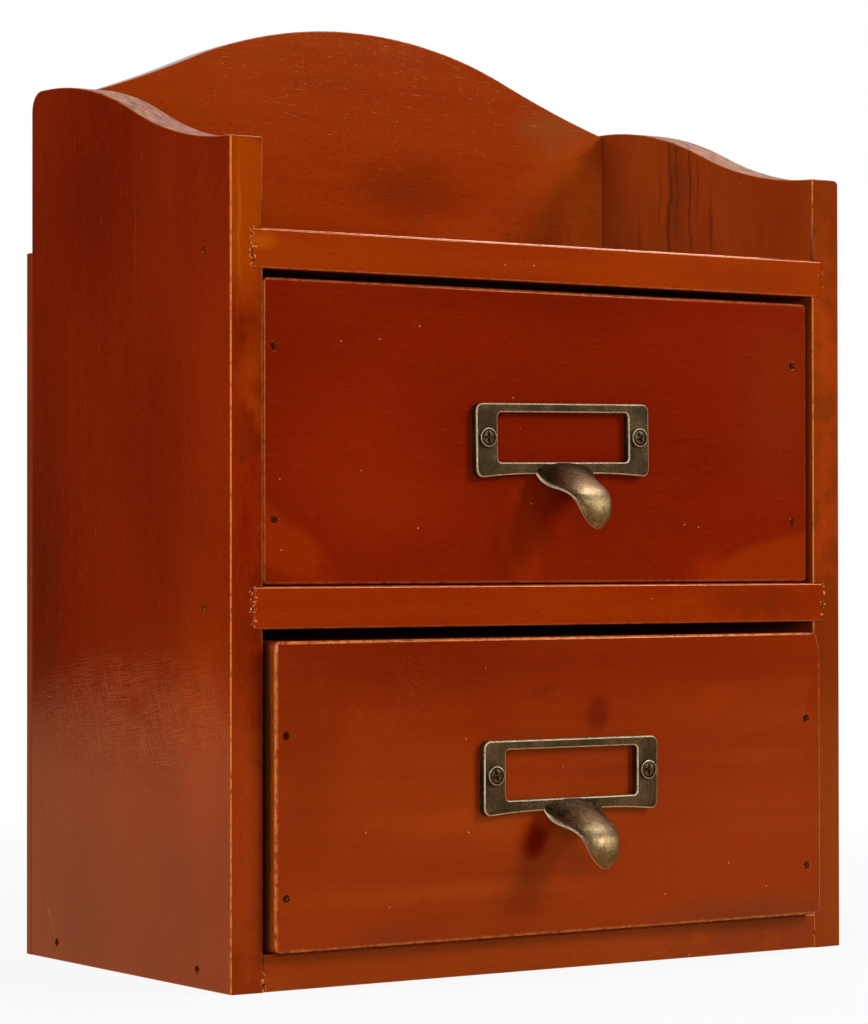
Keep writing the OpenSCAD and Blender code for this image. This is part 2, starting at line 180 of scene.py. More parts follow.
def makeGrainGroup():
    # Figure of a board whose grain runs along X, on a vector in millimetres
    group, given, out = startGroup(
        "boardGrain",
        [("Vector", "Vector", (0, 0, 0)), ("Waver", "Float", 5.0), ("Seed", "Float", 0.0)],
        [("Bands", "Float"), ("Fibre", "Float"), ("Light Ticks", "Float"), ("Dark Ticks", "Float"), ("Cloud", "Float")],
    )
    shift = addNode(group, "ShaderNodeCombineXYZ")
    for i, step in enumerate((171.0, 313.0, 97.0)):
        feed(group, shift.inputs[i], addMath(group, "MULTIPLY", given["Seed"], step))
    moved = addVectorMath(group, "ADD", given["Vector"], shift.outputs[0])
    waver = addNoise(group, addVectorMath(group, "MULTIPLY", moved, (0.012, 0.03, 0.03)), 1.0, 1.0)
    bend = addVectorMath(group, "SUBTRACT", waver.outputs["Color"], (0.5, 0.5, 0.5))
    bend = addVectorMath(group, "SCALE", bend, scale=given["Waver"])
    bent = addVectorMath(group, "ADD", moved, bend)
    bands = addNoise(group, addVectorMath(group, "MULTIPLY", bent, (0.006, 0.13, 0.13)), 1.0, 4.0, 0.6)
    fibre = addNoise(group, addVectorMath(group, "MULTIPLY", bent, (0.08, 1.7, 1.7)), 1.0, 3.0, 0.6)
    ticks = addNoise(group, addVectorMath(group, "MULTIPLY", bent, (0.3, 2.4, 2.4)), 1.0, 0.0)
    lights = addNoise(group, addVectorMath(group, "MULTIPLY", moved, (0.22, 2.1, 2.1)), 1.0, 0.0)
    cloud = addNoise(group, addVectorMath(group, "MULTIPLY", moved, (0.012, 0.022, 0.022)), 1.0, 3.0)
    feed(group, out["Bands"], addRange(group, bands.outputs["Fac"], 0.3, 0.7))
    feed(group, out["Fibre"], fibre.outputs["Fac"])
    feed(group, out["Light Ticks"], addRange(group, lights.outputs["Fac"], 0.7, 0.8))
    feed(group, out["Dark Ticks"], addRange(group, ticks.outputs["Fac"], 0.3, 0.2))
    feed(group, out["Cloud"], addRange(group, cloud.outputs["Fac"], 0.3, 0.7))
    return group


def makeWearGroup():
    # Rubbed arrises: faces that slant about midway between a board's face and its edge
    group, given, out = startGroup(
        "arrisWear",
        [
            ("Vector", "Vector", (0, 0, 0)),
            ("Axis", "Vector", (0, 1, 0)),
            ("Along", "Vector", (0, 0, 0)),
            ("Kept", "Float", 0.45),
            ("Width", "Float", 0.22),
        ],
        [("Mask", "Float")],
    )
    geometry = addNode(group, "ShaderNodeNewGeometry")
    normal = geometry.outputs["True Normal"]
    lean = addMath(group, "ABSOLUTE", addVectorMath(group, "DOT_PRODUCT", normal, given["Axis"]))
    off = addMath(group, "ABSOLUTE", addMath(group, "SUBTRACT", lean, 0.7))
    slant = addRange(group, addMath(group, "SUBTRACT", off, given["Width"]), 0.06, -0.06)
    endward = addMath(group, "ABSOLUTE", addVectorMath(group, "DOT_PRODUCT", normal, given["Along"]))
    slant = addMath(group, "MULTIPLY", slant, addRange(group, endward, 0.35, 0.2))
    patchy = addNoise(group, given["Vector"], 0.4, 5.0, 0.75)
    rubbed = addRange(group, addMath(group, "SUBTRACT", patchy.outputs["Fac"], given["Kept"]), -0.1, 0.14)
    feed(group, out["Mask"], addMath(group, "MULTIPLY", slant, rubbed))
    return group


def makeSpeckGroup():
    # Dust nibs in the varnish
    group, given, out = startGroup(
        "dustNibs",
        [("Vector", "Vector", (0, 0, 0)), ("Spacing", "Float", 9.0), ("Size", "Float", 0.22), ("Share", "Float", 0.35)],
        [("Mask", "Float")],
    )
    cells = addNode(group, "ShaderNodeTexVoronoi")
    feed(group, cells.inputs["Vector"], given["Vector"])
    feed(group, cells.inputs["Scale"], addMath(group, "DIVIDE", 1.0, given["Spacing"]))
    away = addMath(group, "MULTIPLY", cells.outputs["Distance"], given["Spacing"])
    dot = addRange(group, addMath(group, "DIVIDE", away, given["Size"]), 1.0, 0.5)
    split = addNode(group, "ShaderNodeSeparateColor")
    feed(group, split.inputs[0], cells.outputs["Color"])
    chosen = addMath(group, "LESS_THAN", split.outputs[0], given["Share"])
    feed(group, out["Mask"], addMath(group, "MULTIPLY", dot, chosen))
    return group


def makeScratchGroup():
    # Fine sanding scratches that run at an angle about an axis
    group, given, out = startGroup(
        "sandingScratches",
        [("Vector", "Vector", (0, 0, 0)), ("Axis", "Vector", (1, 0, 0)), ("Angle", "Float", 0.6), ("Length", "Float", 12.0)],
        [("Mask", "Float")],
    )
    turn = addNode(group, "ShaderNodeVectorRotate", rotation_type="AXIS_ANGLE")
    feed(group, turn.inputs["Vector"], given["Vector"])
    feed(group, turn.inputs["Axis"], given["Axis"])
    feed(group, turn.inputs["Angle"], given["Angle"])
    squeeze = addNode(group, "ShaderNodeCombineXYZ")
    feed(group, squeeze.inputs[0], 2.0)
    feed(group, squeeze.inputs[1], 2.0)
    feed(group, squeeze.inputs[2], addMath(group, "DIVIDE", 1.0, given["Length"]))
    lines = addNoise(group, addVectorMath(group, "MULTIPLY", turn.outputs[0], squeeze.outputs[0]), 1.0, 1.0)
    patches = addNoise(group, addVectorMath(group, "SCALE", given["Vector"], scale=0.05), 1.0, 1.0)
    normal = addNode(group, "ShaderNodeNewGeometry").outputs["True Normal"]
    facing = addMath(group, "ABSOLUTE", addVectorMath(group, "DOT_PRODUCT", normal, given["Axis"]))
    line = addRange(group, lines.outputs["Fac"], 0.54, 0.66)
    line = addMath(group, "MULTIPLY", line, addRange(group, facing, 0.85, 0.97))
    feed(group, out["Mask"], addMath(group, "MULTIPLY", line, addRange(group, patches.outputs["Fac"], 0.25, 0.5)))
    return group


def makeGritGroup():
    # Cast or worn metal: fine grain and a softer mottle
    group, given, out = startGroup(
        "metalGrit",
        [("Vector", "Vector", (0, 0, 0)), ("Size", "Float", 0.5)],
        [("Grain", "Float"), ("Mottle", "Float")],
    )
    fine = addVectorMath(group, "SCALE", given["Vector"], scale=addMath(group, "DIVIDE", 1.0, given["Size"]))
    grain = addNoise(group, fine, 1.0, 3.0, 0.7)
    soft = addNoise(group, fine, 0.22, 3.0, 0.6)
    both = addMath(group, "ADD", addMath(group, "MULTIPLY", grain.outputs["Fac"], 0.6), addMath(group, "MULTIPLY", soft.outputs["Fac"], 0.6))
    feed(group, out["Grain"], addRange(group, grain.outputs["Fac"], 0.25, 0.75))
    feed(group, out["Mottle"], addRange(group, both, 0.45, 0.75))
    return group


grainGroup = makeGrainGroup()
gritGroup = makeGritGroup()
wearGroup = makeWearGroup()
nibGroup = makeSpeckGroup()
scratchGroup = makeScratchGroup()
print("shader groups made")


# Varnished boards


def addPatch(tree, vector, patch):
    # Soft-edged patch on a board: its middle, half sizes and turn in millimetres and degrees
    waver = addNoise(tree, vector, 1 / patch.get("waverSize", 16.0), 3.0)
    bend = addVectorMath(tree, "SUBTRACT", waver.outputs["Color"], (0.5, 0.5, 0.5))
    bent = addVectorMath(tree, "ADD", vector, addVectorMath(tree, "SCALE", bend, scale=patch.get("waver", 10.0)))
    local = addMapping(tree, bent, patch["at"], patch.get("turn", (0, 0, 0)), patch["size"], "TEXTURE")
    away = addVectorMath(tree, "LENGTH", local)
    mask = addRange(tree, away, 1.0, patch.get("core", 0.0))
    return addMath(tree, "MULTIPLY", mask, patch["amount"])


def addWoodColor(tree, vector, look, grain):
    # Stained wood: cloudy tone, soft bands, placed patches, fibres and short ticks
    color = addMix(tree, grain["Cloud"], look["deep"], look["mid"])
    color = addMix(tree, addMath(tree, "MULTIPLY", grain["Bands"], look["bands"]), color, look["warm"])
    for patch in look["patches"]:
        color = addMix(tree, addPatch(tree, vector, patch), color, patch["color"])
    fibre = addRange(tree, grain["Fibre"], 0.3, 0.7, 1 - look["fibre"], 1 + look["fibre"])
    color = addMix(tree, 1.0, color, fibre, "MULTIPLY")
    light = addMath(tree, "MULTIPLY", grain["Light Ticks"], look["lightTicks"])
    color = addMix(tree, light, color, look["tick"])
    dark = addMath(tree, "MULTIPLY", grain["Dark Ticks"], look["darkTicks"])
    return addMix(tree, dark, color, look["dark"])


def addScratches(tree, vector, look):
    # Sanding scratches in each direction, strongest inside their own patch
    found = None
    for angle in look["scratches"]:
        marks = addGroup(
            tree,
            scratchGroup,
            Vector=vector,
            Axis=look["face"],
            Angle=math.radians(angle),
            Length=look["scratchLength"],
        )["Mask"]
        found = marks if found is None else addMath(tree, "MAXIMUM", found, marks)
    if found is not None and "scratchPatch" in look:
        inside = addMath(tree, "ADD", addPatch(tree, vector, look["scratchPatch"]), 0.08)
        found = addMath(tree, "MULTIPLY", found, inside)
    return found


def boardFinish(name, look):
    material = bpy.data.materials.new(name)
    material.use_nodes = True
    tree = material.node_tree
    shader = tree.nodes["Principled BSDF"]
    place = addNode(tree, "ShaderNodeTexCoord").outputs["Object"]
    vector = addVectorMath(tree, "SCALE", place, scale=1000.0)
    along = {"X": (0, 0, 0), "Y": (0, 0, -90), "Z": (0, 90, 0)}[look["grain"]]
    turned = addMapping(tree, vector, rotation=along)
    grain = addGroup(tree, grainGroup, Vector=turned, Waver=look["waver"], Seed=look["seed"])
    color = addWoodColor(tree, vector, look, grain)
    fine = addNoise(tree, vector, 1.1, 4.0, 0.65)
    mottle = addRange(tree, fine.outputs["Fac"], 0.3, 0.7, 1 - look["mottle"], 1 + look["mottle"])
    color = addMix(tree, 1.0, color, mottle, "MULTIPLY")

    # End grain shows where a face looks along the grain
    axis = {"X": (1, 0, 0), "Y": (0, 1, 0), "Z": (0, 0, 1)}[look["grain"]]
    geometry = addNode(tree, "ShaderNodeNewGeometry")
    facing = addMath(tree, "ABSOLUTE", addVectorMath(tree, "DOT_PRODUCT", geometry.outputs["Normal"], axis))
    endMask = addRange(tree, facing, 0.6, 0.85)
    pores = addNoise(tree, addVectorMath(tree, "MULTIPLY", vector, look["endScale"]), 1.0, 4.0, 0.7)
    endColor = addMix(tree, addRange(tree, pores.outputs["Fac"], 0.35, 0.65), look["endDark"], look["endLight"])
    for patch in look["endPatches"]:
        endColor = addMix(tree, addPatch(tree, vector, patch), endColor, patch["color"])
    color = addMix(tree, endMask, color, endColor)

    ends = axis if look["endsHidden"] else (0, 0, 0)
    wear = addGroup(
        tree, wearGroup, Vector=vector, Axis=look["face"], Along=ends, Kept=look["kept"]
    )
    worn = addMath(tree, "MULTIPLY", wear["Mask"], look["wearAmount"])
    color = addMix(tree, worn, color, look["wear"])
    scratched = addScratches(tree, vector, look)
    if scratched is not None:
        color = addMix(tree, addMath(tree, "MULTIPLY", scratched, look["scratchTint"]), color, look["wear"])
    nibs = addGroup(tree, nibGroup, Vector=vector, Spacing=look["nibSpacing"], Size=0.3, Share=0.55)
    color = addMix(tree, addMath(tree, "MULTIPLY", nibs["Mask"], 0.75), color, look["nib"])
    tree.links.new(color, shader.inputs["Base Color"])

    gloss = look["gloss"]
    rough = addRange(tree, fine.outputs["Fac"], 0.3, 0.7, gloss - 0.03, gloss + 0.03)
    rough = addMath(tree, "ADD", rough, addMath(tree, "MULTIPLY", endMask, 0.35))
    rough = addMath(tree, "ADD", rough, addMath(tree, "MULTIPLY", worn, 0.2), clamp=True)
    tree.links.new(rough, shader.inputs["Roughness"])
    shader.inputs["Specular IOR Level"].default_value = 0.5
    shader.inputs["Specular Tint"].default_value = look["sheenTone"]

    # Waves left by the brush, then fibres, sanding scratches and nibs
    waves = addNoise(tree, addVectorMath(tree, "SCALE", vector, scale=0.03), 1.0, 2.0)
    height = addMath(tree, "MULTIPLY", waves.outputs["Fac"], look["waves"])
    height = addMath(tree, "ADD", height, addMath(tree, "MULTIPLY", grain["Fibre"], look["fibreDepth"]))
    height = addMath(tree, "SUBTRACT", height, addMath(tree, "MULTIPLY", grain["Dark Ticks"], 0.006))
    if scratched is not None:
        height = addMath(tree, "SUBTRACT", height, addMath(tree, "MULTIPLY", scratched, look["scratchDepth"]))
    height = addMath(tree, "ADD", height, addMath(tree, "MULTIPLY", nibs["Mask"], 0.05))
    poreDepth = addMath(tree, "MULTIPLY", addMath(tree, "MULTIPLY", pores.outputs["Fac"], endMask), 0.15)
    height = addMath(tree, "ADD", height, poreDepth)
    bump = addNode(tree, "ShaderNodeBump")
    bump.inputs["Distance"].default_value = 0.001
    tree.links.new(height, bump.inputs["Height"])
    tree.links.new(bump.outputs["Normal"], shader.inputs["Normal"])
    return material


bradHoles = [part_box(name) for name in nodes if "_brad_" in name or "_pin_" in name or "_screw_" in name]
bradHoles = [(Vector(low) + Vector(high)) / 2 for low, high in bradHoles]


def nearHole(edge, reach=0.0019):
    # True for the rim of a hole: both ends lie close to a nail's or a screw's axis
    for middle in bradHoles:
        gaps = [(corner.co - middle) for corner in edge.verts]
        for first, second in ((0, 2), (1, 2)):
            if all(math.hypot(gap[first], gap[second]) < reach for gap in gaps):
                return True
    return False


jointFrom = abs(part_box("left_side")[1][0]) - 0.0001
jointTo = abs(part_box("top_shelf")[0][0]) + 0.0001
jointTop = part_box("top_shelf")[1][2] + 0.0005


def atJoint(edge):
    # True for the short edges where a shelf's end shows in its housing, and for the hidden end itself
    places = [abs(corner.co.x) for corner in edge.verts]
    housed = all(jointFrom < x < jointTo for x in places) and edge.verts[0].co.z < jointTop
    return housed and (edge.calc_length() < 0.014 or min(places) > jointTo - 0.0003)


def cutAway(mesh, cutMesh):
    # The mesh without what the cutting mesh covers, as a new mesh
    cutter = bpy.data.objects.new("cutter", cutMesh)
    body = bpy.data.objects.new("cutBody", mesh)
    for made in (cutter, body):
        bpy.context.scene.collection.objects.link(made)
    cut = body.modifiers.new("cut", "BOOLEAN")
    cut.operation = "DIFFERENCE"
    cut.object = cutter
    cut.solver = "EXACT"
    cut.use_self = True
    bpy.context.view_layer.update()
    finished = bpy.data.meshes.new_from_object(body.evaluated_get(bpy.context.evaluated_depsgraph_get()))
    bpy.data.objects.remove(body)
    bpy.data.objects.remove(cutter)
    return finished


def cornerCutter(look):
    # Round on the right side's top front corner, fading out towards the back
    low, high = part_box("right_side")
    front = [v.co.z for v in nodes["right_side"].data.vertices if v.co.y < low[1] + 0.0005]
    outer, top, clear = high[0], max(front), 0.001
    shape = bmesh.new()
    rings = []
    for y, radius in ((low[1] - clear, look["radius"]), (low[1] + look["reach"], look["fade"])):
        points = [(outer + clear, top + clear), (outer - radius, top + clear)]
        for i in range(look["steps"] + 1):
            angle = math.radians(90 - 90 * i / look["steps"])
            points.append((outer - radius + radius * math.cos(angle), top - radius + radius * math.sin(angle)))
        points.append((outer + clear, top - radius))
        rings.append([shape.verts.new((x, y, z)) for x, z in points])
    for i, corner in enumerate(rings[0]):
        j = (i + 1) % len(rings[0])
        shape.faces.new((corner, rings[0][j], rings[1][j], rings[1][i]))
    for ring in rings:
        shape.faces.new(ring)
    bmesh.ops.recalc_face_normals(shape, faces=shape.faces)
    mesh = bpy.data.meshes.new("cornerCutter")
    shape.to_mesh(mesh)
    shape.free()
    return mesh


def boardPiece(name, nodeName, body, material, soften=0.00035, cutMesh=None):
    # Copy of a board's solid with its sharp outer edges softened
    shape = bmesh.new()
    shape.from_mesh(nodes[nodeName].data)
    bmesh.ops.remove_doubles(shape, verts=shape.verts, dist=2e-6)
    bmesh.ops.dissolve_limit(shape, angle_limit=math.radians(0.4), verts=shape.verts, edges=shape.edges)
    sharp = [e for e in shape.edges if len(e.link_faces) == 2 and e.calc_face_angle_signed() > math.radians(35)]
    sharp = [e for e in sharp if not nearHole(e) and not atJoint(e)]
    bmesh.ops.bevel(shape, geom=sharp, offset=soften, segments=2, profile=0.5, affect="EDGES", clamp_overlap=False)
    mesh = bpy.data.meshes.new(name)
    shape.to_mesh(mesh)
    shape.free()
    if cutMesh:
        mesh = cutAway(mesh, cutMesh)
    mesh.materials.clear()
    mesh.materials.append(material)
    mesh.shade_smooth()
    mesh.set_sharp_from_angle(angle=math.radians(40))
    piece = bpy.data.objects.new(name, mesh)
    bpy.context.scene.collection.objects.link(piece)
    even = piece.modifiers.new("even shading", "WEIGHTED_NORMAL")
    even.keep_sharp = True
    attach(piece, body)
    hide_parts(nodeName)
    return piece


commonLook = {
    "waver": 5.0,
    "bands": 0.35,
    "patches": [],
    "endPatches": [],
    "fibre": 0.04,
    "fibreDepth": 0.006,
    "lightTicks": 0.25,
    "darkTicks": 0.3,
    "mottle": 0.035,
    "tick": tone(168, 70, 34),
    "dark": tone(78, 14, 3),
    "endScale": (0.35, 2.2, 2.2),
    "endDark": tone(70, 24, 8),
    "endLight": tone(150, 72, 28),
    "endsHidden": True,
    "face": (0, 1, 0),
    "kept": 0.45,
    "wearAmount": 0.7,
    "wear": tone(206, 112, 62),
    "nib": tone(226, 176, 140),
    "nibSpacing": 7.5,
    "gloss": 0.14,
    "sheenTone": tone(255, 176, 96),
    "waves": 0.1,
    "scratches": [],
    "scratchDepth": 0.008,
    "scratchTint": 0.06,
    "scratchLength": 12.0,
}

sideLook = dict(
    commonLook,
    grain="Z",
    face=(1, 0, 0),
    seed=1.0,
    deep=tone(112, 24, 2),
    mid=tone(122, 30, 2),
    warm=tone(132, 34, 2),
    bands=0.3,
    fibre=0.03,
    fibreDepth=0.01,
    # Pale flecks along the grain: partly pale fibres, partly painted sheen where raking light catches raised fibres.
    lightTicks=0.2,
    endDark=tone(86, 36, 22),
    endLight=tone(194, 130, 104),
    endScale=(1.9, 0.16, 0.16),
    endsHidden=False,
    kept=0.4,
    wearAmount=0.85,
    wear=tone(224, 130, 66),
    nibSpacing=17.0,
    gloss=0.12,
)
leftLook = dict(sideLook, scratches=[28, -80, -84], scratchDepth=0.02, scratchTint=0.095, scratchLength=13.0)
leftLook["scratchPatch"] = {"at": (-120, -14, 81), "size": (9, 84, 26), "amount": 1.0, "core": 0.3, "waver": 16.0}
leftLook["patches"] = [
    # The next five patches make the side darker towards the back and the top and lighter towards the front edge:
    # painted light and shade across the side.
    {"at": (-120, 20, 250), "size": (10, 62, 70), "color": tone(100, 20, 1), "amount": 0.85},
    {"at": (-120, -62, 170), "size": (10, 34, 130), "color": tone(140, 38, 1), "amount": 0.7},
    {"at": (-120, -52, 84), "size": (10, 34, 62), "color": tone(156, 50, 2), "amount": 0.7},
    {"at": (-120, 34, 18), "size": (10, 44, 46), "color": tone(94, 20, 3), "amount": 0.55},
    {"at": (-120, 56, 130), "size": (10, 24, 160), "color": tone(90, 22, 4), "amount": 0.75},
    {"at": (-114, -67, 240), "size": (14, 1.6, 44), "color": tone(166, 63, 3), "amount": 0.95, "core": 0.4, "waver": 6.0},
    {"at": (-114, -67, 160), "size": (14, 1.6, 70), "color": tone(146, 36, 2), "amount": 0.85},
    {"at": (-112, -67, 186), "size": (9, 1.6, 26), "color": tone(162, 58, 4), "amount": 0.7, "waver": 6.0},
    {"at": (-115, -67, 142), "size": (3.4, 1.6, 15), "color": tone(128, 22, 2), "amount": 0.8, "waver": 4.0},
    {"at": (-112, -67, 160), "size": (2.4, 1.6, 9), "color": tone(130, 23, 3), "amount": 0.7, "waver": 3.0},
    {"at": (-110.2, -67, 205), "size": (1.5, 1.6, 60), "color": tone(136, 44, 3), "amount": 0.6, "waver": 6.0},
    {"at": (-117, -67, 236), "size": (1.0, 1.6, 34), "color": tone(190, 96, 14), "amount": 0.5, "waver": 4.0},
    {"at": (-114, -67, 44), "size": (14, 1.6, 64), "color": tone(152, 50, 10), "amount": 0.8, "core": 0.3, "waver": 6.0},
    {"at": (-120, 50.5, 13), "size": (5, 0.4, 13), "color": tone(46, 12, 5), "amount": 0.9, "waver": 2.5, "turn": (-24.6, 0, 0)},
    {"at": (-120, 49.8, 13), "size": (5, 0.3, 12), "color": tone(196, 116, 84), "amount": 0.6, "waver": 2.5, "turn": (-24.6, 0, 0)},
    {"at": (-120, -7.6, 232), "size": (4, 0.22, 22), "color": tone(150, 66, 30), "amount": 0.75, "waver": 1.2},
]
leftSide = boardPiece("leftSideBoard", "left_side", "case", boardFinish("left side varnish", leftLook))

rightLook = dict(
    sideLook,
    seed=2.0,
    deep=tone(124, 40, 6),
    mid=tone(134, 50, 9),
    warm=tone(144, 60, 14),
    waver=12.0,
    wearAmount=0.9,
    wear=tone(232, 146, 66),
)
rightLook["patches"] = [
    {"at": (108, 27, 262), "size": (5, 16, 46), "color": tone(142, 56, 8), "amount": 0.8},
    {"at": (108, -50, 250), "size": (5, 30, 40), "color": tone(120, 34, 3), "amount": 0.6},
    {"at": (108, 12, 258), "size": (5, 1.8, 40), "color": tone(50, 16, 5), "amount": 0.95, "waver": 6.0},
    {"at": (108, 8, 268), "size": (5, 0.9, 34), "color": tone(62, 20, 6), "amount": 0.8, "waver": 6.0},
    {"at": (108, 0.6, 262), "size": (5, 1.3, 36), "color": tone(58, 18, 6), "amount": 0.85, "waver": 6.0},
    {"at": (108, -4, 264), "size": (5, 0.8, 28), "color": tone(76, 26, 8), "amount": 0.75, "waver": 6.0},
    {"at": (108, 18, 264), "size": (5, 0.8, 30), "color": tone(82, 30, 9), "amount": 0.7, "waver": 6.0},
    {"at": (108, 44, 240), "size": (5, 1.7, 11), "color": tone(80, 26, 8), "amount": 0.8, "waver": 4.0},
    {"at": (108, 7, 262), "size": (5, 10.0, 44), "color": tone(92, 34, 12), "amount": 0.75, "waver": 9.0},
    {"at": (108, -12, 248), "size": (5, 1.8, 18), "color": tone(70, 22, 6), "amount": 0.8, "waver": 6.0},
    {"at": (108, 30, 245), "size": (5, 1.5, 14), "color": tone(88, 30, 8), "amount": 0.7, "waver": 5.0},
    {"at": (114, -67, 200), "size": (14, 2, 70), "color": tone(170, 61, 12), "amount": 0.85},
    {"at": (114, -67, 144), "size": (14, 2, 34), "color": tone(170, 58, 11), "amount": 0.8},
]
rightCorner = {"radius": 0.0028, "fade": 0.0003, "reach": 0.024, "steps": 7}  # in metres
rightSide = boardPiece(
    "rightSideBoard",
    "right_side",
    "case",
    boardFinish("right side varnish", rightLook),
    cutMesh=cornerCutter(rightCorner),
)

shelfLook = dict(
    commonLook,
    grain="X",
    seed=3.0,
    deep=tone(146, 42, 2),
    mid=tone(158, 52, 2),
    warm=tone(166, 62, 4),
    wear=tone(206, 120, 70),
    wearAmount=0.55,
)
topLook = dict(shelfLook)
topLook["patches"] = [
    {"at": (80, -67, 226), "size": (50, 3, 12), "color": tone(140, 48, 8), "amount": 0.8},
    {"at": (-80, -67, 226), "size": (40, 3, 12), "color": tone(160, 55, 2), "amount": 0.6},
    {"at": (-109, -67, 229), "size": (9, 3, 4.5), "color": tone(192, 92, 10), "amount": 0.7, "waver": 5.0},
]
topShelf = boardPiece("topShelfBoard", "top_shelf", "case", boardFinish("top shelf varnish", topLook))
middleLook = dict(shelfLook, seed=4.0, deep=tone(142, 37, 2), mid=tone(154, 46, 2), warm=tone(162, 54, 3))
middleLook["patches"] = [{"at": (90, -67, 117), "size": (50, 3, 12), "color": tone(124, 36, 7), "amount": 0.85}]
middleShelf = boardPiece(
    "middleShelfBoard", "middle_shelf", "case", boardFinish("middle shelf varnish", middleLook)
)
bottomLook = dict(shelfLook, seed=5.0, deep=tone(138, 45, 8), mid=tone(150, 54, 11), warm=tone(158, 60, 13))
bottomLook["patches"] = [{"at": (86, -67, 6), "size": (64, 3, 14), "color": tone(122, 42, 16), "amount": 0.85}]
bottomBoard = boardPiece(
    "bottomBoard", "bottom_board", "case", boardFinish("bottom board varnish", bottomLook)
)
galleryLook = dict(
    commonLook,
    grain="X",
    seed=6.0,
    deep=tone(144, 44, 1),
    mid=tone(154, 52, 2),
    warm=tone(160, 59, 3),
    lightTicks=0.35,
    darkTicks=0.55,
    fibre=0.05,
    wear=tone(190, 110, 66),
    wearAmount=0.5,
    scratches=[3],
    scratchDepth=0.004,
    scratchTint=0.03,
    nibSpacing=20.0,
)
galleryLook["patches"] = [
    # The next two patches lighten the gallery's right end, where the right side blocks the key light: painted light
    # over that shadow.
    {"at": (106, 52, 262), "size": (46, 20, 50), "color": tone(166, 69, 7), "amount": 0.8},
    {"at": (104, 52, 250), "size": (20, 20, 34), "color": tone(200, 86, 12), "amount": 0.85, "core": 0.4},
    {"at": (22, 52, 262), "size": (36, 20, 16), "color": tone(118, 34, 2), "amount": 0.75},
    # Darker towards the left end, where the left side blocks light: painted shade.
    {"at": (-70, 52, 244), "size": (44, 20, 22), "color": tone(126, 35, 2), "amount": 0.65},
    {"at": (86, 52, 288), "size": (24, 20, 12), "color": tone(146, 72, 30), "amount": 0.7},
    # Darker band low on the gallery, just above the shelf, where less light reaches: painted shade.
    {"at": (0, 52, 240), "size": (80, 20, 8), "color": tone(124, 38, 5), "amount": 0.5},
]
gallery = boardPiece(
    "galleryBoard", "gallery_board", "case", boardFinish("gallery varnish", galleryLook)
)
frontLook = dict(
    commonLook,
    grain="X",
    endsHidden=False,
    endDark=tone(112, 44, 14),
    endLight=tone(172, 84, 32),
)
upperLook = dict(
    frontLook,
    seed=7.0,
    deep=tone(122, 23, 1),
    mid=tone(129, 27, 2),
    warm=tone(136, 31, 2),
    bands=0.25,
    fibre=0.025,
    lightTicks=0.1,
    darkTicks=0.3,
    wearAmount=0.5,
)
upperLook["patches"] = [
    {"at": (-75, -65, 165), "size": (46, 9, 40), "color": tone(144, 34, 2), "amount": 0.75},
    {"at": (-102, -65, 136), "size": (26, 9, 11), "color": tone(168, 50, 3), "amount": 0.5, "turn": (0, 30, 0), "core": 0.4},
    {"at": (-60, -65, 148), "size": (44, 9, 20), "color": tone(146, 38, 2), "amount": 0.6},
    {"at": (-10, -65, 137), "size": (10, 9, 24), "color": tone(150, 40, 2), "amount": 0.8, "core": 0.4},
    {"at": (100, -65, 120), "size": (46, 9, 21), "color": tone(150, 46, 4), "amount": 0.8, "turn": (0, -8, 0), "core": 0.84, "waver": 6.0},
    {"at": (64, -65, 127), "size": (12, 9, 9), "color": tone(158, 40, 1), "amount": 0.6, "turn": (0, -30, 0)},
    {"at": (56, -65, 170.6), "size": (15, 9, 0.6), "color": tone(84, 14, 2), "amount": 0.6, "turn": (0, -7, 0), "waver": 3.0},
    {"at": (0, -65, 214), "size": (100, 9, 7), "color": tone(114, 19, 1), "amount": 0.6},
    # Paler and yellower towards the right: painted sheen of a reflection.
    {"at": (96, -65, 185), "size": (34, 9, 50), "color": tone(132, 42, 8), "amount": 0.6},
]
upperFront = boardPiece(
    "upperDrawerFront", "upper_drawer_front", "upper_drawer", boardFinish("upper front varnish", upperLook)
)
lowerLook = dict(
    frontLook,
    seed=8.0,
    deep=tone(132, 34, 3),
    mid=tone(142, 42, 5),
    warm=tone(150, 50, 8),
    bands=0.4,
    fibre=0.03,
    lightTicks=0.1,
    darkTicks=0.12,
    wearAmount=0.85,
    wear=tone(216, 120, 52),
    endDark=tone(88, 32, 8),
    endLight=tone(150, 64, 18),
    scratches=[58],
    scratchDepth=0.01,
    scratchTint=0.06,
    scratchLength=4.0,
    scratchPatch={"at": (-74, -72, 92), "size": (50, 9, 26), "amount": 0.9, "core": 0.1},
)
lowerLook["endPatches"] = [
    # Very dark on the end face where it sits in the gap behind the case's front edge: painted shade.
    {"at": (-107.4, -65.2, 59), "size": (3, 5.2, 90), "color": tone(38, 12, 5), "amount": 0.8, "core": 0.72, "waver": 1.2},
]
